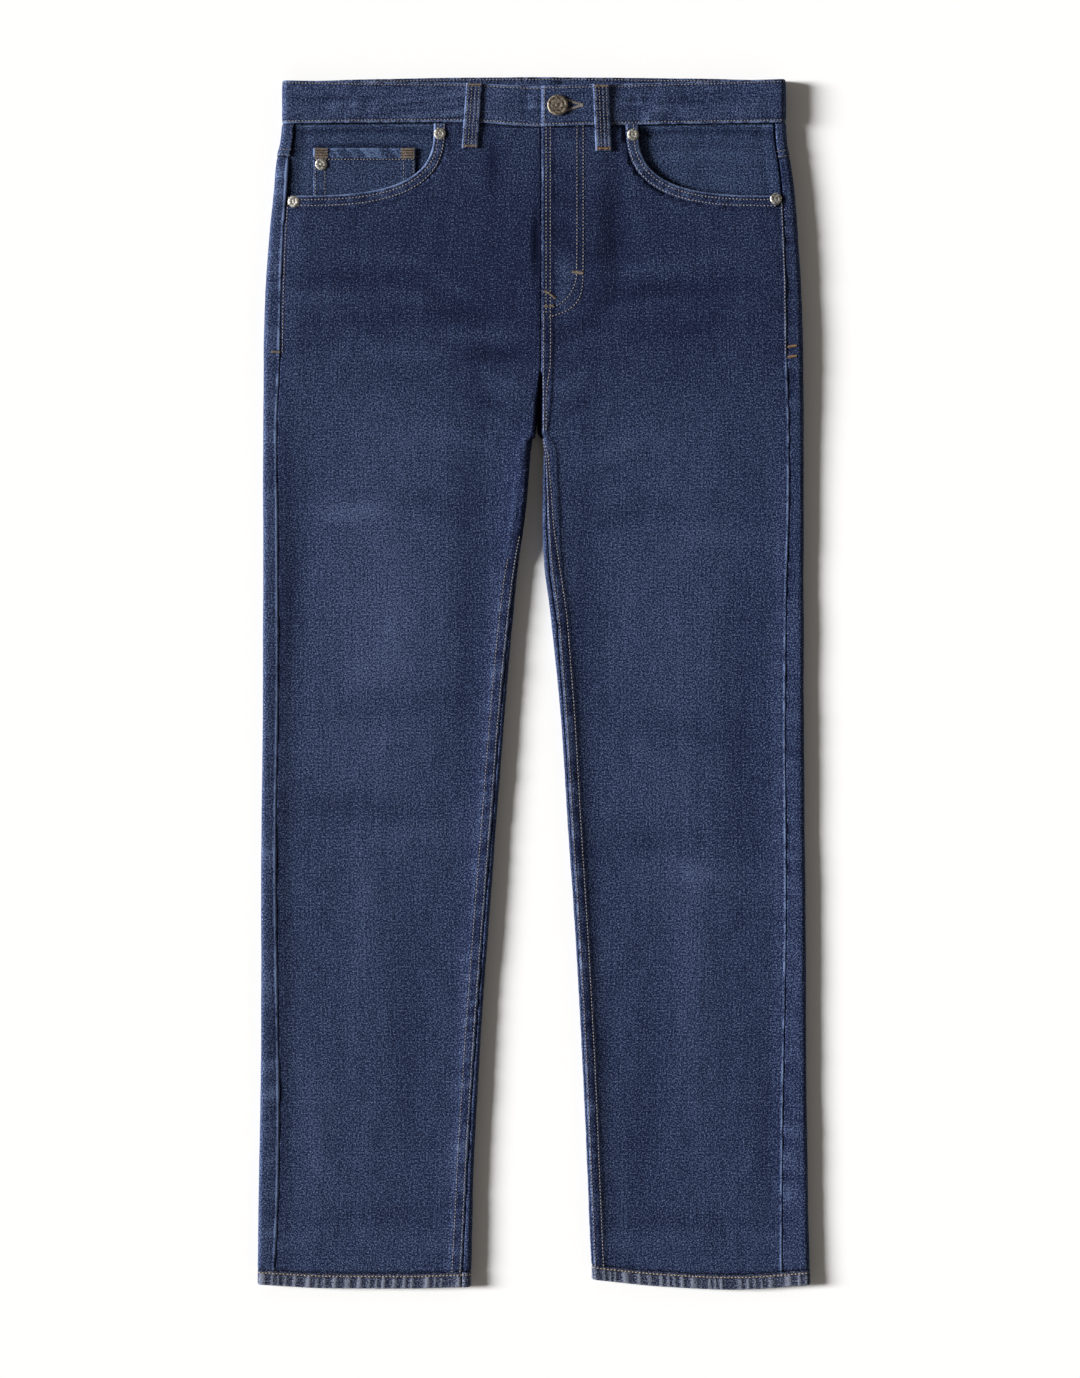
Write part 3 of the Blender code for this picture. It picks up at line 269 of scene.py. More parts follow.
# one half's sections, as places round the cloth: over the top from the inner fold, and back underneath
def layHalf(half):
    side = inward[half]
    y = tableY[:, None]
    radius = foldHeight(y) / 2.0
    outer, inner = outerX[half](y), innerFoldX(half, y)
    flatOuter, flatInner = outer + side * radius, inner - side * radius

    def arc(x, direction, degrees):
        turn = np.radians(degrees)[None, :]
        return x + direction * radius * (1.0 - np.sin(turn)), radius * (1.0 + np.cos(turn))

    def joined(parts):
        return np.concatenate([part[0] for part in parts], 1), np.concatenate([part[1] for part in parts], 1)

    across = flatInner + (flatOuter - flatInner) * np.linspace(0.0, 1.0, 150)[None, :]
    top = (across, topHeight(half, across, y))
    under = (across[:, ::-1], underHeight(half, across[:, ::-1], y))
    firstArc = arc(inner, -side, np.arange(90.0, 0.0, -7.5))
    roundFold = np.arange(7.5, 180.0, 7.5)
    parts = [firstArc, top, arc(outer, side, roundFold), under, arc(inner, -side, 180.0 - roundFold)]
    parts.append((top[0][:, :24], top[1][:, :24]))
    x, z = joined(parts)
    distance = np.concatenate([np.zeros_like(y), np.cumsum(np.hypot(np.diff(x), np.diff(z)), 1)], 1)
    counts = np.cumsum([part[0].shape[1] for part in parts])
    topEnd, underStart, foldAgain = counts[1], counts[2], counts[3] + 12
    wanted = np.arange(0.0, distance.max(), distanceStep)
    laid = {"x": [], "z": [], "start": [], "outseam": [], "end": []}
    for row, height in enumerate(tableY):
        laid["x"].append(np.interp(wanted, distance[row], x[row]))
        laid["z"].append(np.interp(wanted, distance[row], z[row]))
        middle = centreX(height) - side * cloth["gap"] / 2.0
        topX, topD = -side * x[row, :topEnd], distance[row, :topEnd]
        if (innerFoldX(half, height) - middle) * side > 0.0:
            laid["start"].append(np.interp(-side * middle, topX, topD))
            backX = side * x[row, underStart:foldAgain]
            laid["end"].append(np.interp(side * middle, backX, distance[row, underStart:foldAgain]))
        else:
            laid["start"].append(inseamIn[half](height) + cloth["gap"] / 2.0)
            laid["end"].append(distance[row, foldAgain - 1] + inseamIn[half](height) - cloth["gap"] / 2.0)
        laid["outseam"].append(np.interp(-side * (outerX[half](height) + side * outseamIn[half](height)), topX, topD))
    return {key: np.array(value) for key, value in laid.items()}


laidHalf = {half: layHalf(half) for half in halves}


def placeOn(half, y, distance):
    laid = laidHalf[half]
    row = np.clip(y - tableY[0], 0.0, len(tableY) - 1.001)
    column = np.clip(distance / distanceStep, 0.0, laid["x"].shape[1] - 1.001)
    i, j = row.astype(int), column.astype(int)
    s, t = row - i, column - j

    def mixed(a):
        return (a[i, j] * (1 - t) + a[i, j + 1] * t) * (1 - s) + (a[i + 1, j] * (1 - t) + a[i + 1, j + 1] * t) * s

    return mixed(laid["x"]), mixed(laid["z"])


def seamAt(half, name, y):
    return np.interp(y, tableY, laidHalf[half][name])


def hemLow(half, x):
    y = outline["y"][0]
    outer = outerX[half](y)
    return hemEdge[half]((x - outer) / (innerFoldX(half, y) - outer))


print("laid form worked out")


# sheets: grids of points, pushed out along their normals
def unit(vectors):
    return vectors / np.maximum(np.linalg.norm(vectors, axis=-1, keepdims=True), 1e-9)


def gridNormals(points, outward):
    return unit(np.cross(np.gradient(points, axis=1), np.gradient(points, axis=0))) * outward


def makeSheet(name, grids, thick, finish, outward):
    # each grid has points (rows, columns, 3), wear and painted shade, and cloth places, and may leave faces out
    verts, faces, wear, places = [], [], [], []
    count = 0
    for grid in grids:
        rows, columns = grid["points"].shape[:2]
        index = np.arange(rows * columns).reshape(rows, columns) + count
        quads = np.stack([index[:-1, :-1], index[:-1, 1:], index[1:, 1:], index[1:, :-1]], -1)
        quads = quads[grid["kept"]] if "kept" in grid else quads.reshape(-1, 4)
        faces.append(quads if outward > 0.0 else quads[:, ::-1])
        verts.append(grid["points"].reshape(-1, 3) * mm)
        wear.append(grid["wear"].ravel())
        places.append(np.stack([grid["u"].ravel(), grid["v"].ravel(), np.zeros(rows * columns)], -1) * mm)
        count += rows * columns
    verts, faces = np.concatenate(verts), np.concatenate(faces)
    wear, places = np.concatenate(wear), np.concatenate(places)
    used = np.unique(faces)
    renumber = np.zeros(count, int)
    renumber[used] = np.arange(len(used))
    mesh = bpy.data.meshes.new(name)
    mesh.vertices.add(len(used))
    mesh.vertices.foreach_set("co", verts[used].ravel())
    mesh.loops.add(faces.size)
    mesh.loops.foreach_set("vertex_index", renumber[faces].ravel())
    mesh.polygons.add(len(faces))
    mesh.polygons.foreach_set("loop_start", np.arange(0, faces.size, 4))
    mesh.update(calc_edges=True)
    mesh.attributes.new("wear", "FLOAT", "POINT").data.foreach_set("value", wear[used].astype(np.float32))
    mesh.attributes.new("cloth", "FLOAT_VECTOR", "POINT").data.foreach_set(
        "vector", places[used].astype(np.float32).ravel()
    )
    mesh.shade_smooth()
    mesh.materials.append(finish)
    piece = linked(name, mesh)
    wall = piece.modifiers.new("wall", "SOLIDIFY")
    wall.thickness = thick * mm
    wall.offset = -1.0
    return piece


def pushed(grid, lift, outward):
    normals = gridNormals(grid["points"], outward)
    grid["points"] = grid["points"] + normals * lift[..., None]
    grid["normals"] = gridNormals(grid["points"], outward)
    return grid


# a line on a grid at given rows and columns, and the way out of the cloth there
def lineOn(grid, rows, columns, above=0.12):
    rows, columns = np.broadcast_arrays(np.asarray(rows, float), np.asarray(columns, float))
    i = np.clip(rows.astype(int), 0, grid["points"].shape[0] - 2)
    j = np.clip(columns.astype(int), 0, grid["points"].shape[1] - 2)
    s, t = (rows - i)[:, None], (columns - j)[:, None]

    def mixed(a):
        return (a[i, j] * (1 - t) + a[i, j + 1] * t) * (1 - s) + (a[i + 1, j] * (1 - t) + a[i + 1, j + 1] * t) * s

    out = unit(mixed(grid["normals"]))
    return mixed(grid["points"]) + out * above, out


# the same for places given as x and y, on a grid that faces up or down
def drawnOn(grid, xs, ys, above=0.12):
    points = grid["points"]
    rows, columns = [], []
    row, column = points.shape[0] / 2.0, points.shape[1] / 2.0
    for x, y in zip(xs, ys):
        for _ in range(4):
            i = int(min(max(row, 0), points.shape[0] - 2))
            lineX = points[i, :, 0] + (points[i + 1, :, 0] - points[i, :, 0]) * (row - i)
            order = slice(None) if lineX[-1] > lineX[0] else slice(None, None, -1)
            column = float(np.interp(x, lineX[order], np.arange(len(lineX))[order]))
            j = int(min(max(column, 0), points.shape[1] - 2))
            lineY = points[:, j, 1] + (points[:, j + 1, 1] - points[:, j, 1]) * (column - j)
            row = float(indexAt(y, lineY))
        rows.append(row)
        columns.append(column)
    return lineOn(grid, rows, columns, above)


def toLine(x, y, line):
    # distance from each place to a drawn line
    best = np.full(np.shape(x), 1e9)
    for (x0, y0), (x1, y1) in zip(line, line[1:]):
        dx, dy = x1 - x0, y1 - y0
        t = np.clip(((x - x0) * dx + (y - y0) * dy) / max(dx * dx + dy * dy, 1e-9), 0.0, 1.0)
        best = np.minimum(best, np.hypot(x - x0 - dx * t, y - y0 - dy * t))
    return best


# node helpers
def nodeAdder(tree):
    def add(kind, inputs=None, **settings):
        node = tree.nodes.new(kind)
        for key, value in settings.items():
            setattr(node, key, value)
        for socket, source in (inputs or {}).items():
            if isinstance(source, bpy.types.NodeSocket):
                tree.links.new(source, node.inputs[socket])
            else:
                node.inputs[socket].default_value = source
        return node

    return add


def mathNode(add, operation, first, second, clamp=False):
    return add("ShaderNodeMath", {0: first, 1: second}, operation=operation, use_clamp=clamp).outputs[0]


def plus(add, first, second, clamp=False):
    return mathNode(add, "ADD", first, second, clamp)


def times(add, first, second, clamp=False):
    return mathNode(add, "MULTIPLY", first, second, clamp)


def blend(add, share, first, second):
    return add("ShaderNodeMix", {0: share, 6: first, 7: second}, data_type="RGBA").outputs[2]


def noiseAt(add, place, scale, detail=2.0, rough=0.5):
    inputs = {"Vector": place, "Scale": scale, "Detail": detail, "Roughness": rough}
    return add("ShaderNodeTexNoise", inputs).outputs["Fac"]


def stretched(add, vector, scale):
    return add("ShaderNodeVectorMath", {0: vector, 1: scale}, operation="MULTIPLY").outputs[0]


# woven cotton: diagonal twill, slubs down the warp, grain, fading where the cloth stands proud, and painted shade in
# hollows, creases and under edges
def clothGroup():
    tree = bpy.data.node_groups.new("wovenCloth", "ShaderNodeTree")
    for name, kind, value in [
        ("Dark", "NodeSocketColor", (0.01, 0.015, 0.035, 1)),
        ("Middle", "NodeSocketColor", (0.03, 0.042, 0.09, 1)),
        ("Pale", "NodeSocketColor", (0.16, 0.19, 0.27, 1)),
        ("Grain", "NodeSocketFloat", 1.0),
        ("Slubs", "NodeSocketFloat", 1.0),
        ("Fade", "NodeSocketFloat", 0.0),
    ]:
        tree.interface.new_socket(name, in_out="INPUT", socket_type=kind).default_value = value
    for name, kind in (("Colour", "Color"), ("Height", "Float"), ("Roughness", "Float")):
        tree.interface.new_socket(name, in_out="OUTPUT", socket_type="NodeSocket" + kind)
    add = nodeAdder(tree)
    given = add("NodeGroupInput").outputs
    place = add("ShaderNodeAttribute", attribute_name="cloth").outputs["Vector"]
    wear = add("ShaderNodeAttribute", attribute_name="wear").outputs["Fac"]

    def noise(scale, detail, rough=0.6):
        return noiseAt(add, stretched(add, place, scale), 1.0, detail, rough)

    def ribs(direction, scale, distortion):
        inputs = {"Vector": place, "Scale": scale, "Distortion": distortion, "Detail": 1.0, "Detail Scale": 1.4}
        return add("ShaderNodeTexWave", inputs, wave_type="BANDS", bands_direction=direction).outputs["Fac"]

    grain = noise((760.0, 720.0, 1.0), 2.0, 0.8)
    fleck = noise((1400.0, 1250.0, 1.0), 1.0)
    slub = noise((520.0, 46.0, 1.0), 2.0)
    wide = noise((120.0, 8.0, 1.0), 2.0)
    weft = noise((34.0, 560.0, 1.0), 1.0)
    cloud = noise((60.0, 44.0, 1.0), 3.0)
    warpYarns, weftYarns = ribs("X", 88.0, 2.6), ribs("Y", 90.0, 2.6)
    twill = times(add, warpYarns, weftYarns)

    def centred(value, amount, middle=0.5):
        return times(add, mathNode(add, "SUBTRACT", value, middle), amount)

    fine = centred(grain, 10.4)
    for part in (centred(fleck, 4.5), centred(twill, 0.35, 0.25), centred(weft, 0.3)):
        fine = plus(add, fine, part)
    fine = times(add, fine, given["Grain"])
    streaks = plus(add, centred(slub, 1.0), centred(wide, 0.45))
    streaks = times(add, streaks, given["Slubs"])
    tone = plus(add, fine, streaks)
    tone = plus(add, tone, centred(cloud, 0.45))
    # the attribute adds both real fading and painted shade to the tone
    tone = plus(add, tone, times(add, wear, 0.55))
    # edges rubbed hard go much paler than the cloth beside them
    rubbed = mathNode(add, "MAXIMUM", mathNode(add, "SUBTRACT", wear, 0.45), 0.0)
    tone = plus(add, tone, times(add, rubbed, 1.1))
    tone = plus(add, tone, given["Fade"])
    darker = plus(add, tone, 1.0, True)
    paler = times(add, tone, 0.5, True)
    low = blend(add, darker, given["Dark"], given["Middle"])
    colour = blend(add, paler, low, given["Pale"])
    height = plus(add, times(add, twill, 0.22), times(add, grain, 1.2))
    height = plus(add, height, times(add, slub, 0.3))
    rough = plus(add, times(add, grain, 0.12), 0.8)
    out = add("NodeGroupOutput")
    tree.links.new(colour, out.inputs["Colour"])
    tree.links.new(height, out.inputs["Height"])
    tree.links.new(rough, out.inputs["Roughness"])
    return tree


wovenCloth = clothGroup()


def newMaterial(name, roughness, metallic=0.0):
    made = bpy.data.materials.new(name)
    made.use_nodes = True
    shader = made.node_tree.nodes["Principled BSDF"]
    shader.inputs["Roughness"].default_value = roughness
    shader.inputs["Metallic"].default_value = metallic
    return made, shader, nodeAdder(made.node_tree)


def denimFinish(name, dark, middle, pale, grain=1.0, slubs=1.0, fade=0.0):
    made, shader, add = newMaterial(name, 0.88)
    group = add("ShaderNodeGroup", node_tree=wovenCloth)
    for socket, value in [("Dark", (*dark, 1)), ("Middle", (*middle, 1)), ("Pale", (*pale, 1)),
                          ("Grain", grain), ("Slubs", slubs), ("Fade", fade)]:
        group.inputs[socket].default_value = value
    bump = add("ShaderNodeBump", {"Height": group.outputs["Height"], "Strength": 0.6, "Distance": 0.0004})
    links = made.node_tree.links
    links.new(group.outputs["Colour"], shader.inputs["Base Color"])
    links.new(group.outputs["Roughness"], shader.inputs["Roughness"])
    links.new(bump.outputs["Normal"], shader.inputs["Normal"])
    shader.inputs["Specular IOR Level"].default_value = 0.12
    return made


indigo = {"dark": (0.0013, 0.0034, 0.0193), "middle": (0.0063, 0.0133, 0.0482), "pale": (0.114, 0.158, 0.282)}
denim = denimFinish("denim", **indigo)
bandDenim = denimFinish("bandDenim", **indigo, grain=1.05, slubs=0.9, fade=0.06)
hemDenim = denimFinish("hemDenim", indigo["dark"], (0.0105, 0.0165, 0.0450), (0.185, 0.205, 0.265))
facingDenim = denimFinish("facingDenim", (0.0020, 0.0048, 0.0190), (0.0088, 0.0172, 0.0540), (0.100, 0.150, 0.270),
                          1.05, 1.1)


def threadFinish(name, colour, dusk):
    made, shader, add = newMaterial(name, 0.62)
    place = add("ShaderNodeTexCoord").outputs["Object"]
    twist = add("ShaderNodeTexWave", {"Vector": place, "Scale": 620.0, "Distortion": 2.0},
                wave_type="BANDS", bands_direction="DIAGONAL").outputs["Fac"]
    patch = noiseAt(add, place, 260.0)
    share = plus(add, times(add, twist, 0.35), times(add, patch, 0.8), True)
    colour = blend(add, share, (*dusk, 1), (*colour, 1))
    bump = add("ShaderNodeBump", {"Height": twist, "Strength": 0.5, "Distance": 0.0002}).outputs["Normal"]
    made.node_tree.links.new(colour, shader.inputs["Base Color"])
    made.node_tree.links.new(bump, shader.inputs["Normal"])
    shader.inputs["Specular IOR Level"].default_value = 0.3
    return made


brownThread = threadFinish("brownThread", (0.345, 0.310, 0.290), (0.066, 0.060, 0.068))
tackThread = threadFinish("tackThread", (0.270, 0.205, 0.145), (0.070, 0.052, 0.046))
goldThread = threadFinish("goldThread", (0.350, 0.195, 0.090), (0.120, 0.070, 0.042))
hemThread = threadFinish("hemThread", (0.470, 0.370, 0.230), (0.150, 0.115, 0.080))


def metalFinish(name, bright, dull, roughness):
    made, shader, add = newMaterial(name, roughness, 1.0)
    place = add("ShaderNodeTexCoord").outputs["Object"]
    patina, pits = noiseAt(add, place, 620.0, 3.0, 0.7), noiseAt(add, place, 1500.0)
    share = add("ShaderNodeMapRange", {0: patina, 1: 0.40, 2: 0.62}).outputs[0]
    colour = blend(add, share, (*dull, 1), (*bright, 1))
    rough = plus(add, times(add, patina, 0.3), roughness - 0.15)
    bump = add("ShaderNodeBump", {"Height": pits, "Strength": 0.35, "Distance": 0.0003}).outputs["Normal"]
    for source, socket in ((colour, "Base Color"), (rough, "Roughness"), (bump, "Normal")):
        made.node_tree.links.new(source, shader.inputs[socket])
    return made


oldBrass = metalFinish("oldBrass", (0.34, 0.29, 0.225), (0.050, 0.042, 0.036), 0.62)
rivetMetal = metalFinish("rivetMetal", (0.56, 0.54, 0.49), (0.085, 0.078, 0.070), 0.62)
print("finishes made")


# thread: rows of stitches, bar tacks and buttonhole edging, by Geometry Nodes
def stitchTree():
    tree = bpy.data.node_groups.new("stitchRow", "GeometryNodeTree")
    identifiers = {}
    for name, kind in [("Geometry", "NodeSocketGeometry"), ("Pitch", "NodeSocketFloat"),
                       ("Length", "NodeSocketFloat"), ("Thickness", "NodeSocketFloat"),
                       ("Turn", "NodeSocketFloat"), ("Seed", "NodeSocketInt"), ("Thread", "NodeSocketMaterial")]:
        identifiers[name] = tree.interface.new_socket(name, in_out="INPUT", socket_type=kind).identifier
    tree.interface.new_socket("Geometry", in_out="OUTPUT", socket_type="NodeSocketGeometry")
    add = nodeAdder(tree)
    given = add("NodeGroupInput").outputs
    curve = add("GeometryNodeMeshToCurve", {"Mesh": given["Geometry"]}).outputs[0]
    even = add("GeometryNodeResampleCurve", {"Curve": curve, "Length": given["Pitch"]}, mode="LENGTH").outputs[0]
    points = add("GeometryNodeCurveToPoints", {"Curve": even}, mode="EVALUATED").outputs
    out = add("GeometryNodeInputNamedAttribute", {"Name": "outwards"}, data_type="FLOAT_VECTOR").outputs["Attribute"]
    along = add("FunctionNodeAlignRotationToVector", {"Vector": points["Tangent"]}, axis="X").outputs[0]
    upright = add("FunctionNodeAlignRotationToVector", {"Rotation": along, "Vector": out},
                  axis="Z", pivot_axis="X").outputs[0]
    sway = add("FunctionNodeRandomValue", {2: -0.09, 3: 0.09, "Seed": given["Seed"]}, data_type="FLOAT").outputs[1]
    angle = add("ShaderNodeMath", {0: sway, 1: given["Turn"]}, operation="ADD").outputs[0]
    twist = add("FunctionNodeAxisAngleToRotation", {"Axis": (0.0, 0.0, 1.0), "Angle": angle}).outputs[0]
    facing = add("FunctionNodeRotateRotation", {"Rotation": upright, "Rotate By": twist},
                 rotation_space="LOCAL").outputs[0]
    ball = add("GeometryNodeMeshUVSphere", {"Segments": 6, "Rings": 4, "Radius": 0.5}).outputs["Mesh"]
    size = add("ShaderNodeCombineXYZ", {0: given["Length"], 1: given["Thickness"], 2: given["Thickness"]}).outputs[0]
    stitch = add("GeometryNodeTransform", {"Geometry": ball, "Scale": size}).outputs[0]
    scale = add("FunctionNodeRandomValue", {0: (0.86, 0.85, 0.85), 1: (1.08, 1.12, 1.1), "Seed": given["Seed"]},
                data_type="FLOAT_VECTOR").outputs[0]
    placed = add("GeometryNodeInstanceOnPoints", {"Points": points["Points"], "Instance": stitch,
                                                  "Rotation": facing, "Scale": scale}).outputs[0]
    real = add("GeometryNodeRealizeInstances", {"Geometry": placed}).outputs[0]
    smooth = add("GeometryNodeSetShadeSmooth", {"Geometry": real}).outputs[0]
    finished = add("GeometryNodeSetMaterial", {"Geometry": smooth, "Material": given["Thread"]}).outputs[0]
    tree.links.new(finished, add("NodeGroupOutput").inputs["Geometry"])
    return tree, identifiers


stitchRow, stitchSockets = stitchTree()
sewn = {}


def sew(group, line):
    sewn.setdefault(group, []).append(line)


def makeThread(name, lines, pitch, length, thick, turn, thread, seed):
    verts, outs, edges = [], [], []
    count = 0
    for points, out in lines:
        verts.append(points * mm)
        outs.append(out)
        first = np.arange(len(points) - 1) + count
        edges.append(np.stack([first, first + 1], -1))
        count += len(points)
    mesh = bpy.data.meshes.new(name + "Path")
    mesh.from_pydata(np.concatenate(verts).tolist(), np.concatenate(edges).tolist(), [])
    mesh.attributes.new("outwards", "FLOAT_VECTOR", "POINT").data.foreach_set(
        "vector", np.concatenate(outs).astype(np.float32).ravel()
    )
    path = linked(name + "Path", mesh)
    rows = path.modifiers.new("rows", "NODES")
    rows.node_group = stitchRow
    values = {"Pitch": pitch * mm, "Length": length * mm, "Thickness": thick * mm, "Turn": turn,
              "Seed": seed, "Thread": thread}
    for socket, value in values.items():
        rows[stitchSockets[socket]] = value
    made = bpy.data.meshes.new_from_object(path.evaluated_get(bpy.context.evaluated_depsgraph_get()))
    made.name = name
    bpy.data.objects.remove(path)
    return linked(name, made)


# how the cloth is faded and shaded: places that are paler (plus) or darker (minus); the dark marks laid over the
# troughs of the folds are partly wear and partly painted shade
# x, y, reach across, reach along, amount
frontFadesAndShade = [
    (-135, 90, 66, 130, 0.34), (118, 20, 60, 170, 0.22), (-150, -60, 60, 90, 0.18), (120, -150, 60, 90, 0.12),
    (0, 380, 180, 95, -0.52), (-150, 400, 70, 60, -0.1), (0, 300, 220, 60, -0.2), (170, 330, 70, 110, -0.16),
    (-150, 300, 80, 30, 0.08), (-215, 110, 14, 130, -0.30), (-55, 60, 14, 190, -0.32), (188, -20, 18, 190, -0.34),
    (45, 60, 14, 190, -0.28), (115, -170, 90, 120, -0.07),
    (-150, 355, 62, 9, -0.36), (-60, 326, 30, 8, -0.4), (-44, 306, 44, 6, 0.4), (-30, 289, 30, 6, -0.55),
    (104, 362, 38, 7, 0.35), (126, 344, 40, 7, -0.4), (-35, 455, 8, 26, -0.4), (72, 400, 9, 34, -0.4),
    (25, 398, 10, 30, -0.35), (30, 352, 9, 12, 0.6), (22, 334, 9, 8, 0.5), (-150, -400, 70, 140, 0.06),
    (120, -420, 70, 130, -0.02), (-150, 240, 90, 40, 0.1), (100, 250, 80, 40, 0.05),
]
backFades = [
    (-100, 300, 70, 60, 0.3), (100, 300, 70, 60, 0.3), (-120, 60, 70, 130, 0.2), (120, 60, 70, 130, 0.2),
    (0, 440, 160, 40, -0.2), (-140, -120, 60, 60, 0.15), (140, -120, 60, 60, 0.15), (-100, 180, 60, 14, -0.3),
    (100, 176, 60, 14, -0.3), (-130, -80, 50, 10, -0.3), (130, -86, 50, 10, -0.3),
]


def fadeAndShade(x, y, fades):
    total = 0.0
    for fadeX, fadeY, reachX, reachY, amount in fades:
        total += 1.7 * amount * np.exp(-(((x - fadeX) / reachX) ** 2) - ((y - fadeY) / reachY) ** 2)
    return total


# pocket mouths
mouths = {
    "right": {"sideX": -214.0, "innerX": -88.0, "depth": 63.0},
    "left": {"sideX": 213.0, "innerX": 91.5, "depth": 63.0},
}
mouthShape = {"cornerY": 491.5, "roundness": 3.0, "rows": (3.9, 9.2), "raise": 0.6}


def mouthLine(half, count=260):
    mouth = mouths[half]
    turn = np.radians(np.linspace(0.0, 90.0, 2000))
    power = 2.0 / mouthShape["roundness"]
    x = mouth["sideX"] + (mouth["innerX"] - mouth["sideX"]) * np.cos(turn) ** power
    y = mouthShape["cornerY"] - mouth["depth"] * np.sin(turn) ** power
    x[-1] = mouth["sideX"]
    length = np.concatenate([[0.0], np.cumsum(np.hypot(np.diff(x), np.diff(y)))])
    even = np.linspace(0.0, length[-1], count)
    return np.interp(even, length, x), np.interp(even, length, y), even


def outsideMouth(half, x, y):
    # distance from the mouth's edge: plus in the front panel, minus in the pocket
    lineX, lineY, _ = mouthLine(half, 90)
    away = toLine(x, y, list(zip(lineX, lineY)))
    mouth = mouths[half]
    across = np.clip((x - mouth["sideX"]) / (mouth["innerX"] - mouth["sideX"]), 0.0, None)
    down = np.clip((mouthShape["cornerY"] - y) / mouth["depth"], 0.0, None)
    inside = across ** mouthShape["roundness"] + down ** mouthShape["roundness"] < 1.0
    return np.where(inside, -away, away)


# front panels
front = {
    "rows": 350, "middleColumns": 34, "lowY": -520.0, "highY": 490.0,
    "near": [0, 0.5, 1.1, 1.8, 2.6, 3.5, 4.5, 5.5, 6.5, 7.5, 8.5, 9.4, 10.3, 11.3, 12.6, 14.4, 17, 20.5, 25, 30],
    "far": [24, 18, 13.5, 10, 7.5, 5.6, 4.2, 3.1, 2.2, 1.4, 0.7, 0],
    "seed": {"right": 11, "left": 12},
    "flyRows": (4.1, 7.8), "flyRowsY": (224.0, 326.0, 487.5), "hipRowY": (289.0, 424.0),
    "legRowLow": -517.0, "legRowTops": {"left": (214.0, 214.0), "right": (128.0, 108.0)},
}
rowsTogether = {
    "y": [90, 108, 135, 161, 190, 216, 218.6, 221, 249, 262, 280],
    "left": {"near": [2.2, 2.0, 1.6, 1.2, 0.9, 0.9, 6.2, 6.3, 3.6, 2.6, 2.0],
             "away": [9.2, 8.4, 5.6, 4.4, 3.2, 2.8, 8.4, 8.5, 5.6, 6.0, 8.0]},
    "right": {"near": [2.2, 2.0, 1.7, 1.4, 1.2, 1.2, 1.6, 1.8, 2.0, 2.0, 2.0],
              "away": [9.2, 8.4, 6.4, 5.2, 4.2, 4.0, 5.0, 6.0, 7.0, 8.0, 8.0]},
}
valley = {
    "y": [214, 221, 249, 262, 276], "deep": 4.2,
    "left": [5.9, 5.7, 3.0, 2.0, 0.8], "right": [2.6, 2.6, 3.1, 2.0, 0.8],
}
flyStitch = {
    "outer": [(43.3, 489.5), (43.3, 357), (42.6, 347.5), (40.6, 339), (36.6, 332.6), (30.7, 328),
              (23.8, 324.8), (14, 321.6)],
    "inner": [(37.9, 489.5), (37.9, 361), (37, 354), (35.2, 348), (32, 341.8), (28, 337),
              (23.6, 333.2), (17.6, 330.4)],
    "tacks": [((33.8, 361.6), (42.8, 360.4)), ((34.2, 360.8), (43, 359.6)), ((8.6, 344.2), (13.2, 342.4)),
              ((13.2, 342.4), (18.8, 337.8)), ((8.8, 331.2), (12.2, 330.8)), ((13.6, 331), (17, 331.4))],
}


def rounded(line, passes=2):
    line = np.array(line, float)
    for _ in range(passes):
        quarter = line[:-1] * 0.75 + line[1:] * 0.25
        threeQuarter = line[:-1] * 0.25 + line[1:] * 0.75
        middle = np.stack([quarter, threeQuarter], 1).reshape(-1, 2)
        line = np.concatenate([line[:1], middle, line[-1:]])
    return line


def spacedLine(line, step=1.5):
    line = np.asarray(line, float)
    length = np.concatenate([[0.0], np.cumsum(np.hypot(*np.diff(line, axis=0).T))])
    even = np.linspace(0.0, length[-1], max(int(length[-1] / step), 2))
    return np.interp(even, length, line[:, 0]), np.interp(even, length, line[:, 1])


def drawnLine(grid, line, step=1.5, above=0.12):
    return drawnOn(grid, *spacedLine(line, step), above)


# a line that lies level, or at given heights
def levelLine(line, height, up, step=1.5):
    xs, ys = spacedLine(line, step)
    points = np.stack([xs, ys, (height(xs) if callable(height) else height) + 0 * xs], -1)
    return points, np.tile([0.0, 0.0, up], (len(xs), 1))


def frontGrid(half):
    rows = front["rows"]
    share = np.linspace(0.0, 1.0, rows)[:, None]
    near, far = np.array(front["near"], float), np.array(front["far"], float)
    middle = np.linspace(0.0, 1.0, front["middleColumns"] + 2)[1:-1]
    columns = len(near) + len(middle) + len(far)
    y = np.repeat(front["lowY"] + share * (front["highY"] - front["lowY"]), columns, 1)
    for _ in range(4):
        start = seamAt(half, "start", y)
        out = seamAt(half, "outseam", y) - cloth["gap"] / 2.0
        nearD = start[:, :len(near)] + near[None, :]
        farD = out[:, -len(far):] - far[None, :]
        middleStart, middleEnd = nearD[:, -1:], farD[:, :1]
        middleD = middleStart + (middleEnd - middleStart) * middle[None, :]
        distance = np.concatenate([nearD, middleD, farD], 1)
        x, z = placeOn(half, y, distance)
        low = hemLow(half, x) + hemHeight + cloth["gap"]
        y = low + (frontSeam(x) - cloth["gap"] - low) * share
    x, z = placeOn(half, y, distance)
    return {"points": np.stack([x, y, z], -1), "s": distance - start, "e": out - distance,
            "u": out - distance, "v": y.copy()}


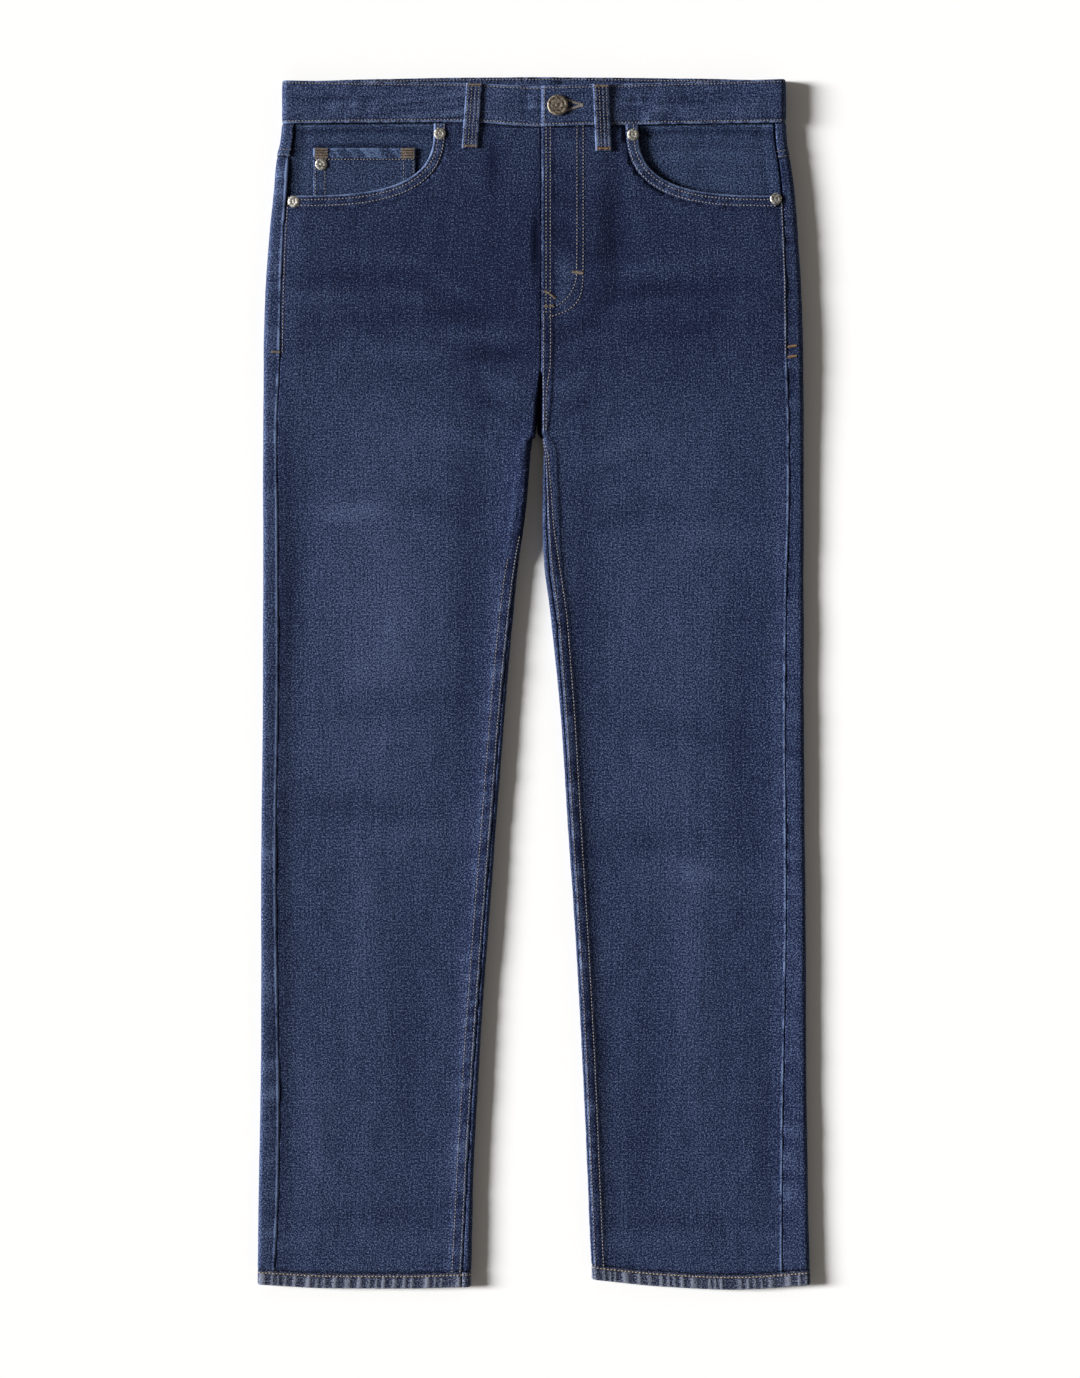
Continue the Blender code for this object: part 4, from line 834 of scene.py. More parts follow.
def frontPanel(half):
    grid = frontGrid(half)
    x, y = grid["points"][..., 0], grid["points"][..., 1]
    s, e = grid["s"], grid["e"]
    outward = -inward[half]
    seed = front["seed"][half]
    leg = fall(y, *legBelow)  # 1 down the leg, 0 above the crotch
    aboveFly = ease(y, *fly["from"])
    seat = (1.0 - leg) * (1.0 - aboveFly)
    lapped = 1.0 if half == "left" else 0.0
    bandWide = 10.2 * leg + (9.4 * seat + 10.0 * aboveFly) * lapped
    raised = (0.42 * leg + 0.45 * seat * lapped + 0.15 * aboveFly * lapped) * fall(s, bandWide, bandWide + 1.8)
    lift = raised * ease(s, -0.2, 1.3)
    lift -= (0.45 * leg + 0.35 * (1.0 - leg)) * fall(s, 0.0, 1.3)
    nearRow, awayRow = (np.interp(y, rowsTogether["y"], rowsTogether[half][key]) for key in ("near", "away"))
    pairs = [((nearRow, awayRow), leg), (front["flyRows"], aboveFly * lapped), ((nearRow, awayRow), seat * lapped)]
    if half == "right":
        lift += 2.3 * fall(s, 2.0, 24.0) * plateau(y, 130.0, 216.0, 28.0)
    for rows, there in pairs:
        lift -= 0.26 * there * sunkRows(s, rows, 0.9)
    # puckers along the seam, between the two rows and fading out past them
    wave = waviness(y + 0.35 * s, 11.0, seed) + 0.5 * waviness(y - 0.5 * s, 6.5, seed + 20)
    within = plateau(s, 1.5, awayRow - 0.2, 2.0) + 0.55 * ease(s, 9.0, 11.0) * trail(s - 10.0, 7.0)
    there = leg + (seat + aboveFly) * (0.7 if half == "left" else 0.35)
    pucker = wave * within * there
    lift += 0.30 * pucker
    # between the legs the two folds meet in a deep narrow valley, above the point where they part
    inValley = 1.0 - np.clip(s / np.interp(y, valley["y"], valley[half]), 0.0, 1.0) ** 3
    inValley = inValley * plateau(y, 219.0, 268.0, 6.0)
    lift -= valley["deep"] * inValley
    # the side seam's ridge, pressed open, with uneven bars across its allowances
    wave2 = waviness(y + 0.2 * e, 15.0, seed + 40) + 0.5 * waviness(y, 8.0, seed + 60)
    bars = wave2 * np.exp(-e / 7.0)
    onRidge = 1.0 if half == "left" else 0.0
    lift += 0.30 * onRidge * bell(e - 1.4, 1.2) + 0.22 * bars - 0.4 * fall(e, 0.0, 0.9)
    lift -= 0.15 * (1.0 - onRidge) * fall(e, 0.4, 3.0) + 0.12 * bell(e - 11.5, 2.2)
    # edges under the waistband and above the hem
    fromTop = frontSeam(x) - y
    fromHem = y - (hemLow(half, x) + hemHeight)
    lift -= 0.5 * fall(fromTop, 0.2, 2.4) + 0.35 * fall(fromHem, 0.1, 1.8)
    topWave = waviness(x, 13.0, seed + 80)
    hemWave = waviness(x + 0.6 * y, 9.0, seed + 90)
    lift += 0.2 * topWave * trail(fromTop, 9.0)
    lift += 0.22 * hemWave * trail(fromHem, 7.0)
    lift += 0.16 * mottle(x, y * 0.6, 24.0, seed + 3) + 0.07 * mottle(x, y * 0.7, 9.0, seed + 4)
    if half == "left":
        toOuter, toInner = (toLine(x, y, rounded(flyStitch[key])) for key in ("outer", "inner"))
        lift -= 0.28 * (bell(toOuter, 1.1) + bell(toInner, 1.1))
        betweenFlyRows = fall(toOuter + toInner, 6.2, 8.4) * ease(y, 318.0, 324.0)
        onFacing = ease(y, *fly["from"]) * fall(s, 38.0, 42.0) * ease(s, 9.0, 12.0)
        lift += 0.16 * onFacing * waviness(y + 0.3 * s, 16.0, 5)
    else:
        lift -= 1.0 * bell(s - 3.0, 4.0) * bell(y - 384.0, 26.0)
    away = outsideMouth(half, x, y)
    lift += 0.16 * waviness(x + y, 12.0, seed + 7) * trail(away - 10.0, 6.0) * ease(y, 400, 420)
    grid = pushed(grid, lift, outward)
    keep = away > 7.6
    grid["kept"] = keep[:-1, :-1] & keep[1:, :-1] & keep[:-1, 1:] & keep[1:, 1:]
    wear = fadeAndShade(x, y, frontFadesAndShade) + 0.05 * mottle(x, y * 0.5, 30.0, seed + 5)
    rub = 0.8 + 0.5 * waviness(y, 13.0, seed + 100)
    wear += (0.75 * pucker - 0.28 * plateau(s, nearRow + 0.4, awayRow, 1.2)) * (leg + lapped * seat)
    wear += 0.4 * pucker * aboveFly * lapped
    shaded = 1.0 if half == "left" else fall(y, 95.0, 150.0)
    wear += 1.25 * rub * bell(s - nearRow + 0.6, 1.0) * (leg * shaded + lapped * seat)
    wear -= 0.7 * fall(s, 0.0, 0.9) * leg
    wear += 1.35 * rub * bell(s - 1.1, 1.15) * aboveFly * lapped
    wear -= 0.6 * bell(s - awayRow + 2.2, 1.4) * leg * shaded
    wear -= 0.5 * (bell(s - 3.2, 0.8) + bell(s - 5.8, 0.9)) * aboveFly * lapped
    wear -= 1.3 * bell(s - 9.9, 1.3) * (aboveFly * lapped + 0.5 * seat * lapped)
    wear += 0.45 * rub * bell(s - awayRow, 0.9) * leg * shaded
    wear += (1.8 * rub * bell(e - 1.4, 1.0) - 0.5 * bell(e - 3.8, 1.0)) * onRidge
    # painted shade, nearly black, down the deep valley between the legs
    wear -= 1.0 * (1.0 - onRidge) * bell(e - 0.9, 1.5) - 0.30 * bars + 3.5 * inValley
    # darker just above the hem; painted shade just under the waistband
    wear += 0.3 * hemWave * trail(fromHem, 6.0) - 0.5 * fall(fromHem, 0.3, 2.4)
    wear -= 1.1 * fall(fromTop, 0.3, 2.8) - 0.3 * topWave * trail(fromTop, 8.0)
    # paler on the ridges of the fine folds and darker in their troughs, partly wear and partly painted shade; painted
    # shade in a line beside the pocket mouth band
    folds = foldOffset(x, y, fineFolds)
    wear += 1.25 * folds - 0.9 * bell(away - 12.6, 1.6) * ease(y, 400.0, 415.0)
    if half == "left":
        wear += 0.5 * aboveFly * plateau(s, 10.0, 36.0, 2.0) * waviness(y + 0.4 * s, 24.0, 8)
        wear -= 0.55 * betweenFlyRows + 0.25 * (bell(toOuter, 1.0) + bell(toInner, 1.0))
        wear += 0.75 * bell(np.hypot(x - 26.0, (y - 365.0) * 0.8), 10.0)
        wear += 0.7 * bell(np.hypot(x - 23.0, (y - 341.0) * 0.7), 5.5)
        wear -= 0.7 * bell(np.hypot((x - 28.0) * 0.5, y - 352.0), 3.6)
    else:
        # painted shade on the right front: down its inner edge above the crotch, along the fly edge, and in the
        # hollow beside the fly
        shadeDown = plateau(y, 118.0, 222.0, 30.0)
        wear -= (0.75 * bell(s - 14.0, 9.0) + 0.9 * fall(s, 1.0, 9.0)) * shadeDown
        wear -= 0.6 * bell(s, 3.5) * ease(y, 300.0, 330.0) + 2.0 * bell(s - 3.0, 4.2) * bell(y - 384.0, 24.0)
    grid["wear"] = wear
    return grid, outward


def mouthBand(half):
    lineX, lineY, length = mouthLine(half)
    across = np.array([0.0, 0.25, 0.6, 1.1, 1.7, 2.3, 3.0, 4.0, 5.2, 6.4, 7.5, 8.3, 9.0, 9.7, 10.3, 10.9, 11.4])
    tangent = unit(np.stack([np.gradient(lineX), np.gradient(lineY)], -1))
    out = np.stack([-tangent[:, 1], tangent[:, 0]], -1) * (1.0 if half == "left" else -1.0)
    if outsideMouth(half, np.array([lineX[130] + out[130, 0]]), np.array([lineY[130] + out[130, 1]]))[0] < 0.0:
        out = -out
    x = lineX[:, None] + out[:, :1] * across[None, :]
    y = lineY[:, None] + out[:, 1:] * across[None, :]
    y = np.minimum(y, frontSeam(x) - cloth["gap"] - 0.1)
    seam = outerX[half](y) + inward[half] * (outseamIn[half](y) + 0.3)
    x = np.maximum(x, seam) if half == "right" else np.minimum(x, seam)
    o = across[None, :]
    along = length[:, None]
    height = mouthShape["raise"] * ease(o, -0.5, 0.9) * fall(o, 9.6, 11.2) - 0.75 * ease(o, 9.9, 11.4)
    height = height - 0.7 * fall(o, 0.0, 0.8)
    height = height - 0.24 * sunkRows(o, mouthShape["rows"], 0.8)
    wave = waviness(along + 0.4 * o, 9.0, 31) + 0.5 * waviness(along, 5.5, 32)
    height = height + 0.15 * wave * plateau(o, 2.0, 8.5, 1.5)
    z = topHeight(half, x, y) + height
    grid = gridOf(x, y, z)
    # half of these curves run the other way round, so the normal is turned to face up
    normals = gridNormals(grid["points"], 1.0)
    outward = 1.0 if normals[..., 2].mean() > 0.0 else -1.0
    grid["normals"] = normals * outward
    wear = 0.34 + fadeAndShade(x, y, frontFadesAndShade) * 0.5 + 0.7 * wave * plateau(o, 1.8, 9.4, 1.0)
    wear += (1.5 + 0.5 * waviness(along, 14.0, 33)) * bell(o - 0.9, 0.8) - 0.8 * bell(o - 2.7, 0.7)
    wear -= 0.5 * bell(o - 5.6, 1.0) + 0.5 * bell(o - 8.0, 0.8) - 0.35 * bell(o - 9.4, 0.8)
    # painted shade along the band's outer edge, where it stands over the front
    wear -= 1.3 * ease(o, 10.0, 11.2)
    grid["wear"] = wear + 0 * x
    return grid, outward, across


root = "root"
pieces = {}


def flipGrid(grid):
    return {key: (value[:, ::-1] if isinstance(value, np.ndarray) and value.ndim >= 2 else value)
            for key, value in grid.items()}


for half in halves:
    grid, outward = frontPanel(half)
    bandGrid, bandOut, across = mouthBand(half)
    shown = bandGrid if bandOut == outward else flipGrid(bandGrid)
    pieces[half + "_front"] = makeSheet(half + "Front", [grid, shown], cloth["denim"], denim, outward)
    count = bandGrid["points"].shape[0]
    for row in mouthShape["rows"]:
        column = indexAt(row, across)
        sew("front", lineOn(bandGrid, np.linspace(2, count - 3, 200), column))
    ys = grid["points"][:, 0, 1]
    near = np.array(front["near"])

    def rowsBetween(low, high):
        return np.linspace(indexAt(low, ys), indexAt(high, ys), int((high - low) / 2.5))

    def sewRow(key, low, high):
        at = rowsBetween(low, high)
        offsets = np.interp(np.interp(at, np.arange(len(ys)), ys), rowsTogether["y"], rowsTogether[half][key])
        sew("front", lineOn(grid, at, indexAt(offsets, near)))

    for key, top in zip(("near", "away"), front["legRowTops"][half]):
        sewRow(key, front["legRowLow"], top)
    if half == "left":
        crotchY, flyY, highY = front["flyRowsY"]
        for row, key in zip(front["flyRows"], ("near", "away")):
            sew("front", lineOn(grid, rowsBetween(flyY, highY), indexAt(row, near)))
            sewRow(key, crotchY, flyY)
        for key in ("outer", "inner"):
            sew("front", drawnLine(grid, rounded(flyStitch[key])))
        for tack in flyStitch["tacks"]:
            sew("tacks", drawnLine(grid, tack, 0.6, 0.3))
    # the extra row beside the hip's side seam, down to its bar tack
    farColumn = grid["points"].shape[1] - 1 - indexAt(1.6, front["far"][::-1])
    sew("front", lineOn(grid, rowsBetween(*front["hipRowY"]), farColumn))
print("front panels made")


# backs and yokes: they run from the side seam round the fold and underneath
back = {
    "rows": 330, "middleColumns": 40, "lowY": -520.0, "seed": {"right": 111, "left": 112},
    "near": [0, 0.6, 1.3, 2.2, 3.2, 4.4, 5.8, 7.4, 9.2, 11, 13, 15, 17, 19, 21, 23, 25, 27, 29, 31.5, 34.5, 38],
    "far": [20, 16, 12.8, 10.6, 9, 7.4, 5.8, 4.2, 2.8, 1.7, 0.8, 0],
    "seatRows": (2.0, 8.2), "yokeRows": (1.8, 8.0), "hipTacks": {"right": (291.0,), "left": (296.0, 287.0)},
}
yoke = {"sideY": 463.0, "centreY": 432.0, "rows": 26, "lowY": 445.0, "highY": 490.0}


def yokeLine(half, x):
    across = np.abs(x - centreX(yoke["sideY"])) / abs(outerX[half](yoke["sideY"]))
    return yoke["centreY"] + (yoke["sideY"] - yoke["centreY"]) * np.minimum(across, 1.0)


def backGrid(half, lowLine, highLine, rows, firstY, lastY):
    share = np.linspace(0.0, 1.0, rows)[:, None]
    near, far = np.array(back["near"], float), np.array(back["far"], float)
    middle = np.linspace(0.0, 1.0, back["middleColumns"] + 2)[1:-1]
    y = np.repeat(firstY + share * (lastY - firstY), len(near) + len(middle) + len(far), 1)
    for _ in range(4):
        start = seamAt(half, "outseam", y) + cloth["gap"] / 2.0
        end = seamAt(half, "end", y)
        nearD, farD = start[:, :len(near)] + near, end[:, -len(far):] - far
        middleD = nearD[:, -1:] + (farD[:, :1] - nearD[:, -1:]) * middle
        distance = np.concatenate([nearD, middleD, farD], 1)
        x, z = placeOn(half, y, distance)
        low, high = lowLine(half, x, z), highLine(half, x, z)
        y = low + (high - low) * share
    x, z = placeOn(half, y, distance)
    return {"points": np.stack([x, y, z], -1), "s": distance - start, "e": end - distance,
            "u": start - distance, "v": y.copy()}


def hemTopLine(half, x, z):
    return hemLow(half, x) + hemHeight + cloth["gap"]


def yokeSeamLine(half, x, z):
    return yokeLine(half, x)


def yokeLowLine(half, x, z):
    return yokeLine(half, x) + cloth["gap"]


def bandSeamLine(half, x, z):
    behind = fall(z, 2.5, 6.0)
    return frontSeam(x) + (backSeam(x) - frontSeam(x)) * behind - cloth["gap"]


def settledDown(grid, relief, depth=0.4):
    # underneath, the cloth only rises from the surface it lies on
    free = ease(grid["points"][..., 2], 0.6, 2.6)
    return relief * free + np.minimum(relief - depth, 0.0) * (1.0 - free)


for half in halves:
    outward = -inward[half]
    seed = back["seed"][half]
    lapped = 1.0 if half == "left" else 0.0
    grid = backGrid(half, hemTopLine, yokeSeamLine, back["rows"], back["lowY"], yoke["lowY"])
    x, y = grid["points"][..., 0], grid["points"][..., 1]
    s, e = grid["s"], grid["e"]
    leg = fall(y, *legBelow)
    bars = (waviness(y + 0.25 * s, 17.0, seed) + 0.6 * waviness(y, 9.0, seed + 1)) * np.exp(-s / 13.0)
    bars = bars * (0.45 + 0.55 * ease(waviness(y, 90.0, seed + 2), -0.5, 0.6))
    ridged = 1.0 if half == "right" else 0.0
    relief = 0.34 * bars - 0.45 * fall(s, 0.0, 0.9) + 0.3 * ridged * bell(s - 1.4, 1.2)
    inner = (waviness(y + 0.3 * e, 12.0, seed + 3) + 0.5 * waviness(y, 7.0, seed + 4)) * np.exp(-e / 9.0)
    relief += 0.22 * inner - 0.45 * fall(e, 0.0, 1.2)
    seatBand = (1.0 - leg) * lapped
    relief += 0.35 * seatBand * fall(e, 9.2, 11.0) * ease(e, 0.0, 1.4)
    relief -= 0.25 * seatBand * sunkRows(e, back["seatRows"], 0.9)
    underFolds = foldOffset(-x, y - 22.0, fineFolds) + 0.8 * foldOffset(-x * 0.9, y + 14.0, frontFolds)
    relief += 0.6 * underFolds + 0.2 * mottle(x, y * 0.6, 26.0, seed + 5)
    fromTop, fromHem = yokeLine(half, x) - y, y - (hemLow(half, x) + hemHeight)
    relief -= 0.5 * fall(fromTop, 0.2, 2.0) + 0.35 * fall(fromHem, 0.1, 1.8)
    hemWave = waviness(x + 0.6 * y, 9.0, seed + 6) * trail(fromHem, 7.0)
    relief += 0.2 * hemWave
    under = fall(grid["points"][..., 2], 1.0, 4.0)
    side = (1.0 - under) * ease(26.0 - s, -6.0, 4.0)
    fade = fadeAndShade(x, y, backFades) * under + fadeAndShade(x, y, frontFadesAndShade) * 0.3 * (1.0 - under)
    # the side strip turned up from the back is paler on the wearer's right, which faces the light: partly wear,
    # partly painted highlight
    stripWearAndLight = {"right": 0.40, "left": 0.02}[half]
    grid["wear"] = fade + stripWearAndLight * side + 0.8 * bars + 0.4 * inner + 0.25 * underFolds * under
    rub = 0.8 + 0.5 * waviness(y, 13.0, seed + 9)
    grid["wear"] += ridged * (1.9 * rub * bell(s - 1.4, 1.0) - 0.5 * bell(s - 3.8, 1.0))
    grid["wear"] -= 0.9 * (1.0 - ridged) * bell(s - 0.8, 1.2) - 0.5 * hemWave
    grid["wear"] -= 0.5 * fall(fromHem, 0.3, 2.4) + 0.4 * fall(fromTop, 0.3, 2.0)
    grid["wear"] += 0.4 * seatBand * bell(e - 0.6, 0.9) + 0.05 * mottle(x, y * 0.5, 30.0, seed + 7)
    grid = pushed(grid, settledDown(grid, relief), outward)
    pieces[half + "_back"] = makeSheet(half + "Back", [grid], cloth["denim"], denim, outward)
    # bar tacks at the foot of the hip's extra row
    seamY = grid["points"][:, 3, 1]
    for tackY in back["hipTacks"][half]:
        across = np.linspace(0.3, 7.6, 14)
        at = indexAt(tackY, seamY)
        sew("goldTacks" if half == "left" else "tacks", lineOn(grid, at, indexAt(across, back["near"]), 0.3))
    if half == "left":
        ys = grid["points"][:, -1, 1]
        rows = np.linspace(indexAt(222.0, ys), len(ys) - 2.0, 110)
        columns = grid["points"].shape[1] - 1 - indexAt(back["seatRows"], back["far"][::-1])
        for column in columns:
            sew("back", lineOn(grid, rows, column, -0.05))

    grid = backGrid(half, yokeLowLine, bandSeamLine, yoke["rows"], yoke["lowY"], yoke["highY"])
    x, y, z = (grid["points"][..., k] for k in range(3))
    s, e = grid["s"], grid["e"]
    fromLow, fromTop = y - yokeLine(half, x), bandSeamLine(half, x, z) - y
    wave = waviness(s, 11.0, seed + 8) * trail(fromLow - 8.0, 5.0)
    relief = 0.3 * fall(fromLow, 9.2, 11.0) + 0.2 * wave - 0.4 * fall(fromLow, 0.0, 1.4)
    relief -= 0.24 * sunkRows(fromLow, back["yokeRows"], 0.9)
    relief -= 0.4 * fall(fromTop, 0.2, 2.0) + 0.45 * fall(s, 0.0, 0.9)
    relief -= 0.4 * fall(e, 0.0, 1.2)
    grid["wear"] = 0.1 + 0.34 * wave + 0.5 * bell(fromLow - 0.7, 0.8) + 0.4 * bell(s - 0.6, 0.8)
    grid["wear"] -= 0.3 * bell(fromTop, 1.5)
    grid = pushed(grid, settledDown(grid, relief), outward)
    pieces[half + "_yoke"] = makeSheet(half + "Yoke", [grid], cloth["denim"], denim, outward)
    low = grid["points"][:, 30, 1]
    for row in back["yokeRows"]:
        at = indexAt(row + low[0], low)
        sew("back", lineOn(grid, at, np.arange(0.6, grid["points"].shape[1] - 1.2, 0.5), 0.0))
print("backs and yokes made")


# hems: doubled cuffs, roped by their stitching
hem = {"offsets": [13.5, 13.2, 12.7, 12, 11.3, 10.6, 9.8, 9, 8, 7, 6, 5, 4, 3.1, 2.3, 1.6, 1, 0.5, 0.15, 0.0],
       "stitch": 10.8, "columns": 290, "rope": 8.6, "seed": {"right": 211, "left": 212}}
for half in halves:
    outward = -inward[half]
    seed = hem["seed"][half]
    middleY = outline["y"][0] + hemHeight / 2.0
    lead = float(inseamIn[half](middleY))
    whole = float(seamAt(half, "end", np.array(middleY))) + cloth["gap"] / 2.0 - lead
    around = np.linspace(lead, lead + whole, hem["columns"])[None, :]
    offsets = np.array(hem["offsets"])[::-1][:, None]
    x, z = placeOn(half, np.full_like(around, middleY), around)
    x, z = x + 0 * offsets, z + 0 * offsets
    y = hemLow(half, x) + offsets
    fromEnds = np.minimum(around - lead, lead + whole - around)
    outseam = around - float(seamAt(half, "outseam", np.array(middleY)))
    still = ease(fromEnds, 0.0, 6.0)
    leaning = around + 0.06 * offsets
    step = leaning / hem["rope"] + 0.55 * waviness(leaning, 26.0, seed)
    rope = (0.5 + 0.5 * np.cos(2.0 * math.pi * step)) ** 2.2
    rope = rope * (0.85 + 0.28 * waviness(leaning, 13.0, seed + 1)) - 0.27
    rope = rope * plateau(offsets, 1.0, 9.6, 1.6) * still
    above = waviness(around - 0.5 * offsets, 8.0, seed + 2) * ease(offsets, 10.5, 12.0) * still
    relief = 0.5 * rope + 0.14 * above - 0.3 * bell(offsets - hem["stitch"], 0.8)
    relief -= 0.9 * fall(offsets, 0.0, 1.6) ** 2 + 0.45 * ease(offsets, 12.3, 13.5)
    relief -= 0.35 * fall(fromEnds, 0.0, 1.2) - 0.3 * bell(outseam, 2.2) - 0.25 * bell(fromEnds - 4.0, 3.0)
    grid = {"points": np.stack([x, y, z], -1), "u": around + 0 * offsets, "v": y}
    grid["wear"] = 0.5 + 2.1 * rope + 0.3 * above
    grid["wear"] += 0.9 * bell(offsets - 0.5, 0.9) * (0.7 + 0.4 * waviness(around, 9.0, seed + 3))
    grid["wear"] -= 1.3 * ease(offsets, 11.6, 13.0) + 0.6 * bell(offsets - 9.6, 0.7)
    grid["wear"] += 0.35 * bell(outseam, 1.6) + 0.25 * bell(fromEnds - 1.0, 1.0)
    grid = pushed(grid, settledDown(grid, relief, 0.3), outward)
    pieces[half + "_hem"] = makeSheet(half + "Hem", [grid], cloth["hem"], hemDenim, outward)
    stitchAt = indexAt(hem["stitch"], hem["offsets"][::-1])
    sew("hem", lineOn(grid, stitchAt, np.arange(0.5, hem["columns"] - 1.4, 0.5), 0.06))
print("hems made")


# waistband
bandPiece = {
    "height": 10.4, "over": 2.5, "underEndX": 46.0, "riseX": 50.0, "rise": 30.0, "step": 2.3,
    "edge": [0, 0.35, 0.8, 1.5, 2.2, 2.9, 3.8, 5.2, 7.2, 9.8], "middleRows": 8, "rows": 2.3,
    "loopsX": (-150.0, 2.0, 150.0), "loopReach": 12.0, "loopBlend": 12.0, "middleY": 507.0,
}
bandFolds = [
    (-186, 513.5, 0, 30, 2.1, -0.7), (-140, 514.5, 3, 22, 2.1, -0.5), (-176, 507, 2, 40, 3.4, 0.25),
    (-8, 508, 82, 13, 3.0, -0.5), (0, 509, 84, 13, 3.0, 0.4), (120, 504, -8, 34, 4.0, 0.45),
    (150, 514, 6, 40, 4.0, -0.45), (185, 503, 5, 26, 4.0, 0.4), (88, 512, 70, 12, 4.0, -0.4),
    (-120, 502, 8, 26, 4.0, -0.3),
]


def bandFrontHeight(x):
    riseX = bandPiece["riseX"]
    return bandPiece["height"] + bandPiece["over"] * fall(x, riseX, riseX + bandPiece["rise"])


def bandUnderHeight(x):
    lift, reach = 0.0, bandPiece["loopReach"]
    for loopX in bandPiece["loopsX"]:
        away = np.abs(x - loopX)
        lift = np.maximum(lift, fall(away, reach, reach + bandPiece["loopBlend"]))
    return patchLift * lift


def bandPath():
    radius, middleY = bandPiece["height"] / 2.0, bandPiece["middleY"]
    right = float(outerX["right"](middleY)) + radius
    left = float(outerX["left"](middleY)) - radius
    turn = np.radians(np.linspace(0.0, 180.0, 15))[1:-1]
    count = int(abs(right - bandPiece["underEndX"]) / bandPiece["step"])
    x1 = np.linspace(bandPiece["underEndX"], right, count)
    x2 = right - radius * np.sin(turn)
    x3 = np.linspace(right, left, int((left - right) / bandPiece["step"]))
    x4 = left + radius * np.sin(turn)
    x5 = np.linspace(left, fly["edgeX"], int((left - fly["edgeX"]) / bandPiece["step"]))
    z = [np.full_like(x1, bandPiece["height"]), radius * (1 + np.cos(turn)), bandUnderHeight(x3),
         radius * (1 - np.cos(turn)), bandFrontHeight(x5)]
    behind = [0 * x1, turn / math.pi, 1 + 0 * x3, 1 - turn / math.pi, 0 * x5]
    return np.concatenate([x1, x2, x3, x4, x5]), np.concatenate(z), np.concatenate(behind)


pathX, pathZ, pathBehind = bandPath()
pathLength = np.concatenate([[0.0], np.cumsum(np.hypot(np.diff(pathX), np.diff(pathZ)))])[None, :]
edge = np.array(bandPiece["edge"])[:, None]
low = frontSeam(pathX) + (backSeam(pathX) - frontSeam(pathX)) * pathBehind
high = frontTop(pathX) + (backTop(pathX) - frontTop(pathX)) * pathBehind
inside = np.linspace(0.0, 1.0, bandPiece["middleRows"] + 2)[1:-1][:, None]
lowY, highY = low + edge, high - edge[::-1]
y = np.concatenate([lowY, lowY[-1:] + (highY[:1] - lowY[-1:]) * inside, highY])
x, z = pathX + 0 * y, pathZ + 0 * y
fromLow, fromHigh, along = y - low, high - y, pathLength + 0 * y
fromEnd = pathLength[0, -1] - along
onFront = (pathBehind[None, :] < 0.5) * 1.0 + 0 * y
leftSide = onFront * ease(x, 40.0, 80.0)
wrinkle = waviness(along + 0.5 * (y - 510.0), 19.0, 301) + 0.55 * waviness(along - 0.35 * (y - 510.0), 9.5, 302)
wrinkle = wrinkle * (0.5 + 0.55 * leftSide) * ease(waviness(along, 70.0, 303) + 0.4 * leftSide, -0.7, 0.4)
wrinkle = wrinkle * plateau(fromLow, 3.0, 34.0, 4.0)
nip = waviness(along, 7.5, 304) * (np.exp(-fromLow / 4.0) + np.exp(-fromHigh / 4.0))
streak = foldOffset(x, y, bandFolds) * onFront
line = waviness(y + 0.09 * along, 3.6, 308) * plateau(fromLow, 4.0, 33.0, 3.0) * onFront
line = line * ease(waviness(along, 46.0, 309) + 0.3 * waviness(y, 14.0, 310), -0.3, 0.6)
relief = 0.42 * wrinkle + 0.18 * nip + 1.0 * streak + 0.1 * line + 0.25 * plateau(fromLow, 6.0, 31.0, 5.0)
relief -= 0.7 * fall(fromLow, 0.0, 1.3) ** 2 + 0.8 * fall(fromHigh, 0.0, 1.4) ** 2
relief -= 0.8 * fall(fromEnd, 0.0, 1.8) ** 2 + 0.24 * bell(fromEnd - 3.0, 0.9)
relief -= 0.24 * bell(fromLow - bandPiece["rows"], 0.8) + 0.24 * bell(fromHigh - bandPiece["rows"], 0.8)
grid = {"points": np.stack([x, y, z], -1), "u": y - 500.0, "v": along}
grid["wear"] = 0.02 + 0.4 * wrinkle + 0.55 * line + 0.8 * nip + 1.15 * streak + 0.3 * mottle(along, y, 6.0, 305)
grid["wear"] += 0.8 * bell(fromHigh - 0.5, 0.8) * (0.9 + 0.4 * waviness(along, 12.0, 306))
grid["wear"] += (1.1 + 0.4 * waviness(along, 9.0, 307)) * bell(fromLow - 1.1, 0.95)
grid["wear"] -= 0.7 * bell(fromLow - 2.9, 0.8) + 0.6 * bell(fromHigh - 3.0, 0.8)
grid["wear"] += 1.5 * bell(fromEnd - 1.1, 1.4) - 0.7 * bell(fromEnd - 3.9, 1.1)
grid["wear"] += 0.16 * onFront * fall(x, -30.0, 10.0)
grid = pushed(grid, settledDown(grid, relief, 0.5), -1.0)
pieces["waistband"] = makeSheet("waistbandCloth", [grid], cloth["band"], bandDenim, -1.0)
heights = grid["points"][:, 40, 1] - grid["points"][0, 40, 1]
lowRow = indexAt(bandPiece["rows"], heights)
highRow = indexAt(heights[-1] - bandPiece["rows"], heights)
lastColumn = grid["points"].shape[1] - 1
for row in (lowRow, highRow):
    sew("waistband", lineOn(grid, row, np.arange(1.0, lastColumn - 1.6, 0.5), 0.08))
endColumn = indexAt(pathLength[0, -1] - 2.6, pathLength[0])
sew("waistband", lineOn(grid, np.arange(lowRow, highRow, 0.25), endColumn, 0.08))
# the inside of the back band shows above the front, so it has its own two rows
backColumns = np.nonzero(pathBehind > 0.999)[0]
for row in (lowRow, highRow):
    points, out = lineOn(grid, row, np.arange(backColumns[4], backColumns[-4], 0.5), 0.0)
    sew("waistband", (points - out * (cloth["band"] + 0.08), -out))
print("waistband made")


